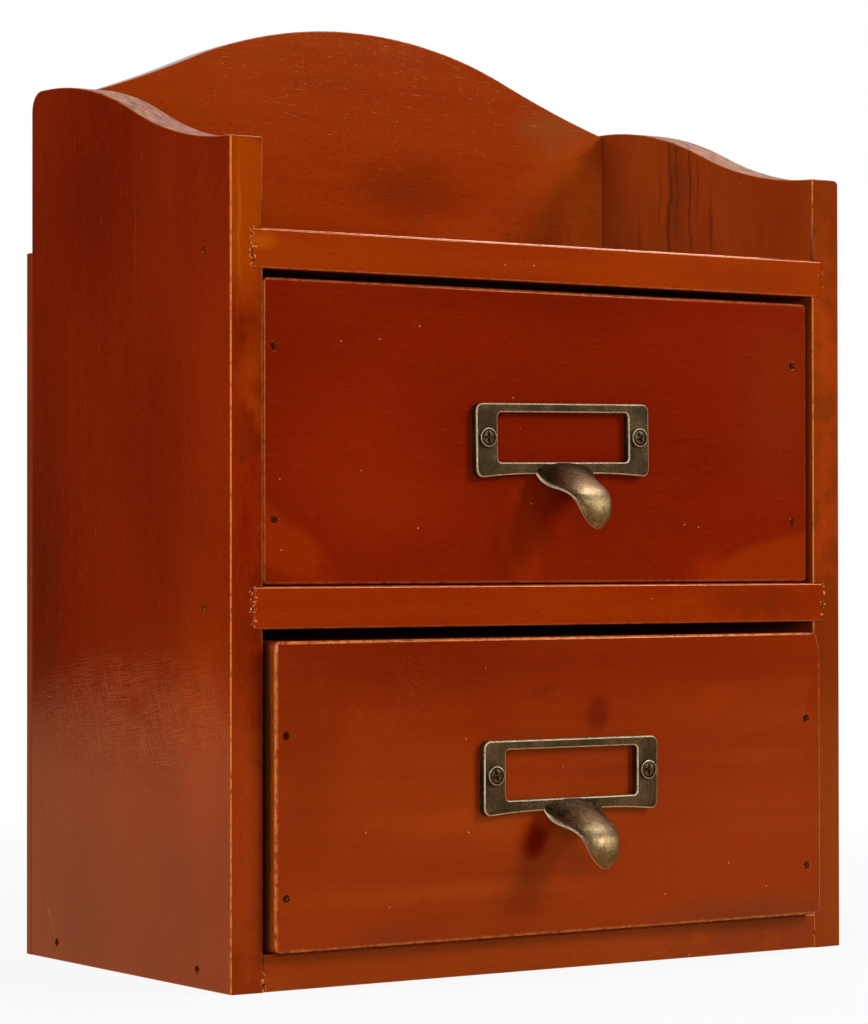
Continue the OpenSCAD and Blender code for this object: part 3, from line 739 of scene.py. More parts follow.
lowerLook["patches"] = [
    {"at": (-106.7, -72, 104.6), "size": (0.6, 2, 2.4), "color": tone(238, 206, 180), "amount": 0.9, "waver": 0.8},
    {"at": (-56, -72, 102), "size": (96, 9, 28), "color": tone(120, 25, 2), "amount": 0.95},
    {"at": (-30, -72, 50), "size": (80, 9, 10), "color": tone(156, 56, 8), "amount": 0.7},
    {"at": (60, -72, 84), "size": (40, 9, 9), "color": tone(150, 50, 6), "amount": 0.6},
    {"at": (80, -72, 66), "size": (34, 9, 4.5), "color": tone(148, 50, 8), "amount": 0.6},
    {"at": (-40, -72, 27), "size": (80, 9, 5), "color": tone(156, 58, 12), "amount": 0.7},
    {"at": (-66, -72, 14), "size": (34, 9, 7), "color": tone(110, 34, 18), "amount": 0.5},
    {"at": (75, -72, 12), "size": (62, 9, 12), "color": tone(112, 42, 18), "amount": 0.85},
    {"at": (14, -72, 82), "size": (5.6, 9, 7.5), "color": tone(88, 14, 3), "amount": 0.9, "core": 0.3, "waver": 4.0},
    {"at": (14, -72, 82), "size": (10, 9, 13), "color": tone(120, 28, 3), "amount": 0.6, "waver": 5.0},
    {"at": (-96, -72, 70), "size": (22, 9, 50), "color": tone(120, 30, 4), "amount": 0.5},
    {"at": (40, -72, 101), "size": (60, 9, 9), "color": tone(126, 30, 3), "amount": 0.6},
    {"at": (-7, -72, 89), "size": (15, 9, 3), "color": tone(112, 22, 3), "amount": 0.5, "waver": 6.0, "turn": (0, -12, 0)},
    {"at": (-11, -72, 42), "size": (6, 9, 9), "color": tone(104, 10, 1), "amount": 0.85, "waver": 4.0, "core": 0.2},
    {"at": (5, -72, 34), "size": (9, 9, 8), "color": tone(106, 34, 18), "amount": 0.6, "waver": 5.0},
]
lowerFront = boardPiece(
    "lowerDrawerFront", "lower_drawer_front", "lower_drawer", boardFinish("lower front varnish", lowerLook), 0.0007
)

# Back panel: plywood, stained with the case
backLook = dict(
    sideLook,
    seed=9.0,
    deep=tone(100, 26, 4),
    mid=tone(116, 34, 6),
    warm=tone(134, 48, 12),
    bands=0.5,
    lightTicks=0.4,
    endDark=tone(84, 24, 6),
    endLight=tone(128, 48, 18),
    wearAmount=0.2,
    face=(0, 1, 0),
    gloss=0.3,
    scratches=[],
)
backPanel = boardPiece("backPanel", "back_panel", "case", boardFinish("stained plywood", backLook), 0.0003)

# Drawer boxes: bare, pale wood behind the stained fronts
boxLook = dict(
    commonLook,
    grain="Y",
    seed=10.0,
    deep=tone(186, 140, 92),
    mid=tone(204, 162, 112),
    warm=tone(176, 124, 76),
    bands=0.6,
    waver=9.0,
    fibre=0.08,
    tick=tone(222, 188, 140),
    dark=tone(136, 88, 50),
    endDark=tone(140, 96, 58),
    endLight=tone(206, 166, 118),
    wear=tone(222, 190, 148),
    wearAmount=0.3,
    nib=tone(150, 110, 70),
    nibSpacing=24.0,
    gloss=0.55,
    sheenTone=(1, 1, 1, 1),
    waves=0.02,
)
boxFinishes = {
    "Y": boardFinish("bare box wood along", boxLook),
    "X": boardFinish("bare box wood across", dict(boxLook, grain="X", seed=11.0)),
}
plyFinish = boardFinish(
    "bare plywood", dict(boxLook, seed=12.0, deep=tone(196, 152, 104), mid=tone(208, 168, 120), bands=0.35, waver=14.0)
)
for drawer in ("upper", "lower"):
    body = drawer + "_drawer"
    for part, finish in (("left_side", "Y"), ("right_side", "Y"), ("back", "X")):
        label = drawer + "Box" + "".join(word.capitalize() for word in part.split("_"))
        boardPiece(label, body + "_" + part, body, boxFinishes[finish], 0.0004)
    boardPiece(drawer + "BoxFloor", body + "_bottom", body, plyFinish, 0.0002)
print("boards made")


# Cast label pulls

pullLook = {
    "plate": (68.5, 23.7, 2.8),  # width, height and thickness, in millimetres
    "corner": 2.6,
    "window": (51.8, 15.9),
    "windowUp": 0.9,
    "windowCorner": 1.4,
    "edgeRise": 1.0,
    "arris": 0.75,
    "rim": [(0, 1.2), (5.046, -7.728), (16.182, 1.008), (17.4, -16.8)],
    "ridge": [(0, 4.6), (6.96, -2.016), (21.228, -2.688), (18.2, -16.1)],
    "widths": (22.8, 18.6, 9.8),
    "metal": 1.5,
    "screwPitch": 60.0,
    "dark": tone(61, 50, 35),
    "brown": tone(89, 74, 51),
    "rootDark": tone(84, 70, 46),
    "rootLight": tone(124, 103, 70),
    "brass": tone(172, 146, 108),
    "olive": tone(116, 94, 57),
    "bright": tone(228, 210, 172),
}
pullPlaces = {
    "upper": {"at": (4.0, -65.1, 169.7), "tilt": 0.9, "body": "upper_drawer"},
    "lower": {"at": (2.0, -72.1, 62.4), "tilt": 0.0, "body": "lower_drawer"},
}


def placed(point, place):
    # From a pull's own frame (across, up, out) in millimetres to the row's frame in metres
    turn = math.radians(place["tilt"])
    across, up, out = point
    x = place["at"][0] + across * math.cos(turn) - up * math.sin(turn)
    z = place["at"][2] + across * math.sin(turn) + up * math.cos(turn)
    return (x / 1000, (place["at"][1] - out) / 1000, z / 1000)


def roundedLoop(width, height, radius, middleUp=0.0, steps=8):
    # Points of a rounded rectangle, counter-clockwise, each with its outward normal
    loop = []
    for turn, (sideX, sideY) in enumerate(((1, 1), (-1, 1), (-1, -1), (1, -1))):
        middle = (sideX * (width / 2 - radius), middleUp + sideY * (height / 2 - radius))
        for i in range(steps + 1):
            angle = math.radians(90 * turn + 90 * i / steps)
            normal = (math.cos(angle), math.sin(angle))
            loop.append(((middle[0] + radius * normal[0], middle[1] + radius * normal[1]), normal))
    return loop


def plateLoop(look):
    # The plate's outline, with a lower edge that rises to the tab in two shallow arcs
    width, height = look["plate"][:2]
    loop = roundedLoop(width, height, look["corner"])
    root = look["widths"][0] / 2
    flare = width / 2 - look["corner"] - root
    rise = look["edgeRise"]
    radius = (flare * flare + rise * rise) / (2 * rise)
    low = []
    for side, places in ((-1, range(0, 13)), (1, range(12, -1, -1))):
        for i in places:
            x = flare * (1 - i / 12)
            y = rise - radius + math.sqrt(max(radius * radius - x * x, 0))
            low.append(((side * (root + x), y - height / 2), (0, -1)))
    corner = 3 * 9
    return loop[:corner] + low + loop[corner:]


def addLoopRings(shape, loop, rings):
    # Rings of a loop at (inset, height) pairs, joined by faces
    made = []
    for inset, height in rings:
        made.append([shape.verts.new((p[0] - inset * n[0], p[1] - inset * n[1], height)) for p, n in loop])
    count = len(loop)
    for low, high in zip(made, made[1:]):
        for i in range(count):
            j = (i + 1) % count
            shape.faces.new((low[i], low[j], high[j], high[i]))
    return made[0], made[-1]


def fillBetween(shape, loops):
    edges = []
    for loop in loops:
        for i in range(len(loop)):
            edge = shape.edges.get((loop[i], loop[i - 1]))
            edges.append(edge if edge else shape.edges.new((loop[i], loop[i - 1])))
    bmesh.ops.triangle_fill(shape, use_beauty=True, use_dissolve=False, edges=edges)


def addPlate(shape, look):
    thick, soft = look["plate"][2], look["arris"]
    turns = [math.radians(a) for a in (0, 22.5, 45, 67.5, 90)]
    rings = [(0.0, 0.0)] + [(soft * (1 - math.cos(a)), thick - soft + soft * math.sin(a)) for a in turns]
    outer = addLoopRings(shape, plateLoop(look), rings)
    window = roundedLoop(*look["window"], look["windowCorner"], look["windowUp"])
    window = [(p, (-n[0], -n[1])) for p, n in window]
    inner = addLoopRings(shape, window, rings)
    holes = []
    for side in (-1, 1):
        middle = side * look["screwPitch"] / 2
        ring = [math.radians(15 * i) for i in range(24)]
        hole = [((middle + 1.7 * math.cos(a), look["windowUp"] + 1.7 * math.sin(a)), (0, 0)) for a in ring]
        holes.append(addLoopRings(shape, hole, [(0.0, 0.0), (0.0, thick)]))
    fillBetween(shape, [outer[0], inner[0]] + [hole[0] for hole in holes])
    fillBetween(shape, [outer[1], inner[1]] + [hole[1] for hole in holes])


def alongCubic(points, t):
    a, b, c, d = (1 - t) ** 3, 3 * t * (1 - t) ** 2, 3 * t * t * (1 - t), t**3
    return Vector([a * p[0] + b * p[1] + c * p[2] + d * p[3] for p in zip(*points)])


def tabSection(look, t, narrow, steps=28):
    # Closed section of the tab: outer arch from right to left, rim, underside and rim
    rim = alongCubic(look["rim"], t)
    rise = alongCubic(look["ridge"], t) - rim
    metal = min(look["metal"], 0.6 * rise.length) / rise.length
    wide, waist, tip = look["widths"]
    half = narrow * ((1 - t) ** 2 * wide + 2 * t * (1 - t) * waist + t * t * tip) / 2
    underHalf = half - min(look["metal"], 0.3 * half)
    points = []
    for i in range(steps + 1):
        angle = math.pi * i / steps
        spot = rim + rise * math.sin(angle)
        points.append((half * math.cos(angle), spot[1], spot[0], math.sin(angle), False))
    for i in range(steps, -1, -1):
        angle = math.pi * i / steps
        spot = rim + rise * (1 - metal) * math.sin(angle)
        points.append((underHalf * math.cos(angle), spot[1], spot[0], math.sin(angle), True))
    return points


def addTab(shape, look, reach, rub):
    thick, low = look["plate"][2], look["plate"][1] / 2
    sections = [(0.0, 1.0, thick / 2)] + [(0.85 * i / 44, 1.0, thick) for i in range(45)]
    sections += [(0.85 + 0.15 * math.sin(math.radians(a)), math.cos(math.radians(a)), thick) for a in range(6, 90, 6)]
    rings = []
    for t, narrow, lift in sections:
        ring = []
        for across, up, out, rise, under in tabSection(look, t, narrow):
            corner = shape.verts.new((across, up - low, out + lift))
            corner[reach] = t
            # Pale rim share: partly real wear, partly a painted highlight along the rim.
            corner[rub] = 0.0 if under else max(0.0, 1 - rise / 0.22)
            ring.append(corner)
        rings.append(ring)
    count = len(rings[0])
    faces = []
    for first, second in zip(rings, rings[1:]):
        for i in range(count):
            j = (i + 1) % count
            faces.append(shape.faces.new((first[i], second[i], second[j], first[j])))
    faces.append(shape.faces.new(rings[0]))
    faces.append(shape.faces.new(rings[-1][::-1]))
    for face in faces:
        face.material_index = 1


def makePull(name, place, look, finishes):
    shape = bmesh.new()
    reach = shape.verts.layers.float.new("reach")
    rub = shape.verts.layers.float.new("rub")
    addPlate(shape, look)
    addTab(shape, look, reach, rub)
    for corner in shape.verts:
        corner.co = placed(corner.co, place)
    bmesh.ops.recalc_face_normals(shape, faces=shape.faces)
    mesh = bpy.data.meshes.new(name)
    shape.to_mesh(mesh)
    shape.free()
    for finish in finishes:
        mesh.materials.append(finish)
    mesh.shade_smooth()
    mesh.set_sharp_from_angle(angle=math.radians(50))
    piece = bpy.data.objects.new(name, mesh)
    bpy.context.scene.collection.objects.link(piece)
    even = piece.modifiers.new("even shading", "WEIGHTED_NORMAL")
    even.keep_sharp = True
    return piece


def plateFinish(look):
    material = bpy.data.materials.new("antique plate brass")
    material.use_nodes = True
    tree = material.node_tree
    shader = tree.nodes["Principled BSDF"]
    place = addNode(tree, "ShaderNodeTexCoord").outputs["Object"]
    vector = addVectorMath(tree, "SCALE", place, scale=1000.0)
    cloud = addNoise(tree, vector, 0.09, 3.0, 0.6)
    grit = addGroup(tree, gritGroup, Vector=vector, Size=0.55)
    drawn = addNoise(tree, addVectorMath(tree, "MULTIPLY", vector, (1.6, 1.0, 0.16)), 1.0, 2.0)
    color = addMix(tree, addRange(tree, cloud.outputs["Fac"], 0.35, 0.65), look["dark"], look["brown"])
    color = addMix(tree, 1.0, color, addRange(tree, grit["Grain"], 0.0, 1.0, 0.6, 1.45), "MULTIPLY")
    color = addMix(tree, 1.0, color, addRange(tree, drawn.outputs["Fac"], 0.3, 0.7, 0.85, 1.18), "MULTIPLY")
    # Pale edges: partly real wear on the rubbed arrises, partly painted highlights; the lower metallic lets the pale
    # colour show under any light.
    wear = addGroup(tree, wearGroup, Vector=vector, Axis=(0, 1, 0), Kept=0.3)
    edge = addMath(tree, "MULTIPLY", wear["Mask"], addRange(tree, grit["Grain"], 0.1, 0.7, 0.35, 1.0))
    color = addMix(tree, edge, color, look["bright"])
    tree.links.new(color, shader.inputs["Base Color"])
    rough = addRange(tree, grit["Grain"], 0.0, 1.0, 0.48, 0.66)
    rough = addMath(tree, "SUBTRACT", rough, addMath(tree, "MULTIPLY", edge, 0.2))
    tree.links.new(rough, shader.inputs["Roughness"])
    tree.links.new(addMath(tree, "SUBTRACT", 1.0, addMath(tree, "MULTIPLY", edge, 0.5)), shader.inputs["Metallic"])
    bump = addNode(tree, "ShaderNodeBump")
    bump.inputs["Distance"].default_value = 0.0001
    tree.links.new(grit["Grain"], bump.inputs["Height"])
    tree.links.new(bump.outputs["Normal"], shader.inputs["Normal"])
    return material


def tabFinish(look):
    # Brown and dull at the root, mottled paler brass further out, partly real rubbing and partly a painted highlight,
    # olive at the tip; the rim is pale, partly wear and partly a painted highlight
    material = bpy.data.materials.new("rubbed tab brass")
    material.use_nodes = True
    tree = material.node_tree
    shader = tree.nodes["Principled BSDF"]
    place = addNode(tree, "ShaderNodeTexCoord").outputs["Object"]
    vector = addVectorMath(tree, "SCALE", place, scale=1000.0)
    reach = addNode(tree, "ShaderNodeAttribute", attribute_name="reach").outputs["Fac"]
    rub = addNode(tree, "ShaderNodeAttribute", attribute_name="rub").outputs["Fac"]
    grit = addGroup(tree, gritGroup, Vector=vector, Size=0.6)
    cloud = addNoise(tree, vector, 0.28, 4.0, 0.65)
    cloudy = addMath(tree, "SUBTRACT", cloud.outputs["Fac"], 0.5)
    # Paler brass from about the middle out: partly real rubbing, partly a painted highlight.
    rubbedBrassAndHighlight = addMath(tree, "ADD", addRange(tree, reach, 0.14, 0.5), addMath(tree, "MULTIPLY", cloudy, 1.1), clamp=True)
    tip = addMath(tree, "ADD", addRange(tree, reach, 0.55, 0.9), addMath(tree, "MULTIPLY", cloudy, 2.4), clamp=True)
    color = addMix(tree, grit["Mottle"], look["rootDark"], look["rootLight"])
    brass = addMix(tree, tip, look["brass"], look["olive"])
    color = addMix(tree, rubbedBrassAndHighlight, color, brass)
    color = addMix(tree, addRange(tree, grit["Grain"], 0.44, 0.16, 0.0, 0.85), color, look["dark"])
    # Pale, less metallic rim: partly real wear, partly a painted highlight.
    color = addMix(tree, rub, color, look["bright"])
    tree.links.new(color, shader.inputs["Base Color"])
    rough = addRange(tree, grit["Grain"], 0.0, 1.0, 0.3, 0.4)
    rough = addMath(tree, "ADD", rough, addMath(tree, "MULTIPLY", tip, 0.22))
    tree.links.new(rough, shader.inputs["Roughness"])
    tree.links.new(addMath(tree, "SUBTRACT", 1.0, addMath(tree, "MULTIPLY", rub, 0.5)), shader.inputs["Metallic"])
    bump = addNode(tree, "ShaderNodeBump")
    bump.inputs["Distance"].default_value = 0.00022
    tree.links.new(addMath(tree, "ADD", cloud.outputs["Fac"], addMath(tree, "MULTIPLY", grit["Grain"], 0.09)), bump.inputs["Height"])
    tree.links.new(bump.outputs["Normal"], shader.inputs["Normal"])
    return material


brassFinishes = [plateFinish(pullLook), tabFinish(pullLook)]
for drawer, place in pullPlaces.items():
    pull = makePull(drawer + "CastPull", place, pullLook, brassFinishes)
    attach(pull, place["body"])
    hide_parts(drawer + "_label_pull")
print("pulls made")


# Screws, brads and pins, placed by one Geometry Nodes tree


def startTree(name, inputs):
    # Geometry Nodes tree with named inputs
    tree = bpy.data.node_groups.new(name, "GeometryNodeTree")
    tree.interface.new_socket(name="Geometry", in_out="INPUT", socket_type="NodeSocketGeometry")
    for label, kind in inputs:
        tree.interface.new_socket(name=label, in_out="INPUT", socket_type="NodeSocket" + kind)
    tree.interface.new_socket(name="Geometry", in_out="OUTPUT", socket_type="NodeSocketGeometry")
    return tree, tree.nodes.new("NodeGroupInput").outputs, tree.nodes.new("NodeGroupOutput").inputs


def addRandom(tree, kind, low, high, seed, which):
    made = addNode(tree, "FunctionNodeRandomValue", data_type=kind)
    names = {"FLOAT": (2, 3, 1), "FLOAT_VECTOR": (0, 1, 0)}[kind]
    feed(tree, made.inputs[names[0]], low)
    feed(tree, made.inputs[names[1]], high)
    feed(tree, made.inputs["Seed"], addMath(tree, "ADD", seed, float(which)))
    return made.outputs[names[2]]


def addParts(tree, points, given, turned):
    # The part on every point, turned, sized, made real and given its finish
    part = addNode(tree, "GeometryNodeObjectInfo", transform_space="ORIGINAL")
    feed(tree, part.inputs["Object"], given["Part"])
    spread = given["Size Spread"]
    low = addMath(tree, "SUBTRACT", 1.0, spread)
    size = addRandom(tree, "FLOAT", low, addMath(tree, "ADD", 1.0, spread), given["Seed"], 2)
    place = addNode(tree, "GeometryNodeInstanceOnPoints")
    feed(tree, place.inputs["Points"], points)
    feed(tree, place.inputs["Instance"], part.outputs["Geometry"])
    feed(tree, place.inputs["Rotation"], turned)
    feed(tree, place.inputs["Scale"], size)
    real = addNode(tree, "GeometryNodeRealizeInstances")
    feed(tree, real.inputs["Geometry"], place.outputs[0])
    finish = addNode(tree, "GeometryNodeSetMaterial")
    feed(tree, finish.inputs["Geometry"], real.outputs[0])
    feed(tree, finish.inputs["Material"], given["Finish"])
    return finish.outputs[0]


def makeFixingTree():
    # A part on each point, its top towards the point's aim, with a spin of its own
    inputs = [("Part", "Object"), ("Spin", "Float"), ("Size Spread", "Float"), ("Seed", "Int"), ("Finish", "Material")]
    tree, given, out = startTree("placeFixings", inputs)
    aim = addNode(tree, "GeometryNodeInputNamedAttribute", data_type="FLOAT_VECTOR")
    aim.inputs["Name"].default_value = "aim"
    align = addNode(tree, "FunctionNodeAlignRotationToVector", axis="Z")
    feed(tree, align.inputs["Vector"], aim.outputs[0])
    spin = addNode(tree, "FunctionNodeAxisAngleToRotation")
    spin.inputs["Axis"].default_value = (0, 0, 1)
    back = addMath(tree, "MULTIPLY", given["Spin"], -1.0)
    feed(tree, spin.inputs["Angle"], addRandom(tree, "FLOAT", back, given["Spin"], given["Seed"], 1))
    turned = addNode(tree, "FunctionNodeRotateRotation", rotation_space="LOCAL")
    feed(tree, turned.inputs[0], align.outputs[0])
    feed(tree, turned.inputs[1], spin.outputs[0])
    feed(tree, out["Geometry"], addParts(tree, given["Geometry"], given, turned.outputs[0]))
    return tree


def makeCrumbTree():
    # Crumbs strewn along the edges of a mesh: spacing, share kept and spread about the line
    inputs = [("Part", "Object"), ("Spacing", "Float"), ("Share", "Float"), ("Spread", "Vector")]
    inputs += [("Size Spread", "Float"), ("Seed", "Int"), ("Finish", "Material")]
    tree, given, out = startTree("strewCrumbs", inputs)
    path = addNode(tree, "GeometryNodeMeshToCurve")
    feed(tree, path.inputs[0], given["Geometry"])
    points = addNode(tree, "GeometryNodeCurveToPoints", mode="LENGTH")
    feed(tree, points.inputs["Curve"], path.outputs[0])
    feed(tree, points.inputs["Length"], given["Spacing"])
    keep = addRandom(tree, "FLOAT", 0.0, 1.0, given["Seed"], 3)
    drop = addNode(tree, "GeometryNodeDeleteGeometry", domain="POINT")
    feed(tree, drop.inputs["Geometry"], points.outputs["Points"])
    feed(tree, drop.inputs["Selection"], addMath(tree, "GREATER_THAN", keep, given["Share"]))
    move = addNode(tree, "GeometryNodeSetPosition")
    feed(tree, move.inputs["Geometry"], drop.outputs[0])
    back = addVectorMath(tree, "SCALE", given["Spread"], scale=-1.0)
    feed(tree, move.inputs["Offset"], addRandom(tree, "FLOAT_VECTOR", back, given["Spread"], given["Seed"], 4))
    tumble = addRandom(tree, "FLOAT_VECTOR", (0, 0, 0), (6.28, 6.28, 6.28), given["Seed"], 5)
    turned = addNode(tree, "FunctionNodeEulerToRotation")
    feed(tree, turned.inputs[0], tumble)
    feed(tree, out["Geometry"], addParts(tree, move.outputs[0], given, turned.outputs[0]))
    return tree


def runTree(name, mesh, tree, settings):
    # New mesh piece from a tree run on a helper mesh
    helper = bpy.data.objects.new(name + "Helper", mesh)
    bpy.context.scene.collection.objects.link(helper)
    run = helper.modifiers.new("tree", "NODES")
    run.node_group = tree
    for item in tree.interface.items_tree:
        if item.in_out == "INPUT" and item.name in settings:
            run[item.identifier] = settings[item.name]
    bpy.context.view_layer.update()
    grown = bpy.data.meshes.new_from_object(helper.evaluated_get(bpy.context.evaluated_depsgraph_get()))
    grown.name = name
    helper.modifiers.remove(run)
    bpy.data.objects.remove(helper)
    piece = bpy.data.objects.new(name, grown)
    bpy.context.scene.collection.objects.link(piece)
    return piece


def latheMesh(name, profile, count, dirtyBelow=None):
    # Closed turned shape from (radius, height) pairs in millimetres, top first, with its dirt share stored; a negative
    # share marks pale metal, partly rubbed and partly painted glint
    shape = bmesh.new()
    dirt = shape.verts.layers.float.new("dirt")
    rings = []
    for radius, height, grimeAndGlint in profile:
        turns = [2 * math.pi * i / count for i in range(count)] if radius > 0 else [0.0]
        ring = [shape.verts.new((radius * math.cos(a) / 1000, radius * math.sin(a) / 1000, height / 1000)) for a in turns]
        for vert in ring:
            vert[dirt] = grimeAndGlint
        rings.append(ring)
    for high, low in zip(rings, rings[1:]):
        for i in range(count):
            j = (i + 1) % count
            corners = [high[i % len(high)], low[i % len(low)], low[j % len(low)], high[j % len(high)]]
            corners = list(dict.fromkeys(corners))
            shape.faces.new(corners)
    bmesh.ops.recalc_face_normals(shape, faces=shape.faces)
    mesh = bpy.data.meshes.new(name)
    shape.to_mesh(mesh)
    shape.free()
    return mesh


def cutCross(mesh, look):
    # Cross recess: two tapered bars taken out of the head, pale at the rim, partly rubbed metal and partly painted
    # glints, and dirty at the bottom
    shape = bmesh.new()
    dirt = shape.verts.layers.float.new("dirt")
    for turn in (0, 90):
        bar = bmesh.ops.create_cube(shape, size=2.0)["verts"]
        for vert in bar:
            above = vert.co.z > 0
            share = 1.1 if above else 0.35
            vert[dirt] = -0.9 if above else 1.3
            height = 0.3 - look["lift"] if above else -look["crossDeep"]
            wide, long = share * look["crossWide"] / 2, share * look["crossLong"] / 2
            vert.co = Vector((vert.co.x * long, vert.co.y * wide, height)) / 1000
        bmesh.ops.rotate(shape, verts=bar, matrix=Matrix.Rotation(math.radians(turn), 3, "Z"))
    cutMesh = bpy.data.meshes.new("crossCutter")
    shape.to_mesh(cutMesh)
    shape.free()
    return cutAway(mesh, cutMesh)


def fixingSpots(names, aim):
    # Outermost point of each fixing on its own axis
    spots = []
    for name in names:
        low, high = (Vector(corner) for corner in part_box(name))
        middle = (low + high) / 2
        for i in range(3):
            if aim[i]:
                middle[i] = (high if aim[i] > 0 else low)[i]
        spots.append((middle, Vector(aim)))
    return spots


def spotMesh(name, spots):
    mesh = bpy.data.meshes.new(name)
    mesh.from_pydata([place for place, aim in spots], [], [])
    aims = mesh.attributes.new("aim", "FLOAT_VECTOR", "POINT")
    for i, (place, aim) in enumerate(spots):
        aims.data[i].vector = aim
    return mesh


def makePart(name, mesh):
    mesh.shade_smooth()
    mesh.set_sharp_from_angle(angle=math.radians(38))
    part = bpy.data.objects.new(name, mesh)
    bpy.context.scene.collection.objects.link(part)
    return part


def smallMetalFinish(name, look):
    # Dull metal with grit, dirt where the shape holds it, and pale high places, partly real rubbing and partly painted
    # glints
    material = bpy.data.materials.new(name)
    material.use_nodes = True
    tree = material.node_tree
    shader = tree.nodes["Principled BSDF"]
    place = addNode(tree, "ShaderNodeTexCoord").outputs["Object"]
    vector = addVectorMath(tree, "SCALE", place, scale=1000.0)
    grit = addGroup(tree, gritGroup, Vector=vector, Size=look["gritSize"])
    color = addMix(tree, grit["Mottle"], look["dark"], look["plain"])
    dirt = addNode(tree, "ShaderNodeAttribute", attribute_name="dirt").outputs["Fac"]
    ragged = addMath(tree, "ADD", dirt, addMath(tree, "MULTIPLY", grit["Grain"], 0.3))
    color = addMix(tree, addRange(tree, ragged, 0.45, 0.8), color, look["dirt"])
    # Negative dirt shares give pale, less metallic metal: partly rubbed high places, partly painted glints.
    rubbed = addRange(tree, addMath(tree, "ADD", dirt, addMath(tree, "MULTIPLY", grit["Grain"], 0.25)), -0.2, -0.6)
    color = addMix(tree, rubbed, color, look["bright"])
    tree.links.new(color, shader.inputs["Base Color"])
    tree.links.new(addRange(tree, grit["Grain"], 0.2, 0.8, look["rough"] - 0.1, look["rough"] + 0.1), shader.inputs["Roughness"])
    tree.links.new(addMath(tree, "SUBTRACT", 1.0, addMath(tree, "MULTIPLY", rubbed, 0.6)), shader.inputs["Metallic"])
    bump = addNode(tree, "ShaderNodeBump")
    bump.inputs["Distance"].default_value = 0.00006
    tree.links.new(grit["Grain"], bump.inputs["Height"])
    tree.links.new(bump.outputs["Normal"], shader.inputs["Normal"])
    return material


screwLook = {
    "head": 3.25,  # radius
    "rim": 2.72,
    "groove": 2.45,
    "lift": 0.5,  # how far the pressed head lies under the round head's top in the plan
    "shank": 1.5,
    "length": 12.3,
    "crossWide": 1.05,
    "crossLong": 4.3,
    "crossDeep": 1.6,
    "plain": tone(108, 94, 72),
    "dark": tone(62, 52, 39),
    "dirt": tone(12, 9, 6),
    "bright": tone(206, 190, 160),
    "gritSize": 0.5,
    "rough": 0.42,
}
bradLook = {
    "head": 1.0,
    "shank": 0.7,
    "length": 26.0,
    "plain": tone(128, 62, 34),
    "dark": tone(84, 34, 16),
    "dirt": tone(20, 6, 3),
    "bright": tone(150, 110, 70),
    "gritSize": 0.4,
    "rough": 0.6,
}
pinLook = dict(
    bradLook, head=1.1, shank=0.6, length=15.0, plain=tone(128, 116, 100), dark=tone(82, 70, 56), bright=tone(170, 160, 140)
)


def screwMesh(look):
    head, rim, groove, top = look["head"], look["rim"], look["groove"], -look["lift"]
    profile = [
        (0.0, top, 0.2),
        (1.2, top - 0.03, 0.15),
        (2.0, top - 0.1, 0.3),
        (groove - 0.12, top - 0.2, 0.7),
        (groove, top - 0.34, 1.0),
        (groove + 0.12, top - 0.2, 0.6),
        # The raised rim takes a pale ring: partly rubbed brass, partly a painted glint.
        (rim, top + 0.02, -0.5),
        (rim + 0.22, top - 0.02, -0.6),
        (head - 0.1, top - 0.24, -0.1),
        (head, top - 0.5, 0.5),
        (head, -1.3, 0.9),
        (look["shank"], -1.3, 0.9),
        (look["shank"], -look["length"] + 2.5, 0.3),
        (0.0, -look["length"], 0.3),
    ]
    return cutCross(latheMesh("screwBlank", profile, 48), look)


def bradMesh(name, look):
    head, shank = look["head"], look["shank"]
    profile = [
        (0.0, -0.16, 0.6),
        (head * 0.35, -0.12, 0.4),
        (head * 0.7, -0.02, 0.0),
        (head * 0.92, -0.03, -0.1),
        (head, -0.14, 0.3),
        (head, -0.5, 0.6),
        (shank, -0.85, 0.6),
        (shank, -look["length"] + 1.6, 0.2),
        (0.0, -look["length"], 0.2),
    ]
    return latheMesh(name, profile, 20)


fixingTree = makeFixingTree()
crumbTree = makeCrumbTree()
screwFinish = smallMetalFinish("old screw brass", screwLook)
bradFinish = smallMetalFinish("stained nail steel", bradLook)
pinFinish = smallMetalFinish("pin steel", pinLook)
screwPart = makePart("screwPart", screwMesh(screwLook))
bradPart = makePart("bradPart", bradMesh("brad", bradLook))
pinPart = makePart("pinPart", bradMesh("pin", pinLook))


def placeFixings(name, sets, part, finish, body, spin, seed):
    spots = []
    names = []
    for found, aim in sets:
        spots += fixingSpots(found, aim)
        names += found
    settings = {"Part": part, "Spin": spin, "Size Spread": 0.0, "Seed": seed, "Finish": finish}
    piece = runTree(name, spotMesh(name, spots), fixingTree, settings)
    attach(piece, body)
    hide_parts(*names)


def named(start):
    return sorted(name for name in nodes if name.startswith(start))


sideBrads = [(named("left_side_brad"), (-1, 0, 0)), (named("right_side_brad"), (1, 0, 0))]
placeFixings("sideBrads", sideBrads, bradPart, bradFinish, "case", 3.1, 1)
placeFixings("backPins", [(named("back_pin"), (0, 1, 0))], pinPart, pinFinish, "case", 3.1, 2)
for drawer, seed in (("upper", 3), ("lower", 5)):
    body = drawer + "_drawer"
    front = [(named(drawer + "_front_brad"), (0, -1, 0))]
    placeFixings(drawer + "FrontBrads", front, bradPart, bradFinish, body, 3.1, seed)
    screws = [(named(drawer + "_pull_screw"), (0, -1, 0))]
    placeFixings(drawer + "PullScrews", screws, screwPart, screwFinish, body, 0.5, seed + 1)
print("fixings placed")


# Crumbs: pale filler along the shelf joints, with dark crumbs as painted shade in its pits, torn fibres round the front
# nail holes, and dark crumbs round the side nail holes as painted shade of the holes

fillerLook = {"plain": tone(244, 178, 112), "dark": tone(206, 106, 38), "gritSize": 0.5, "rough": 0.8}
fibreLook = {"plain": tone(200, 108, 46), "dark": tone(150, 58, 16), "gritSize": 0.5, "rough": 0.8}
# Dark crumbs that stand for pits and holes: painted shade.
pitShadeLook = {"plain": tone(112, 44, 10), "dark": tone(70, 20, 4), "gritSize": 0.5, "rough": 0.8}


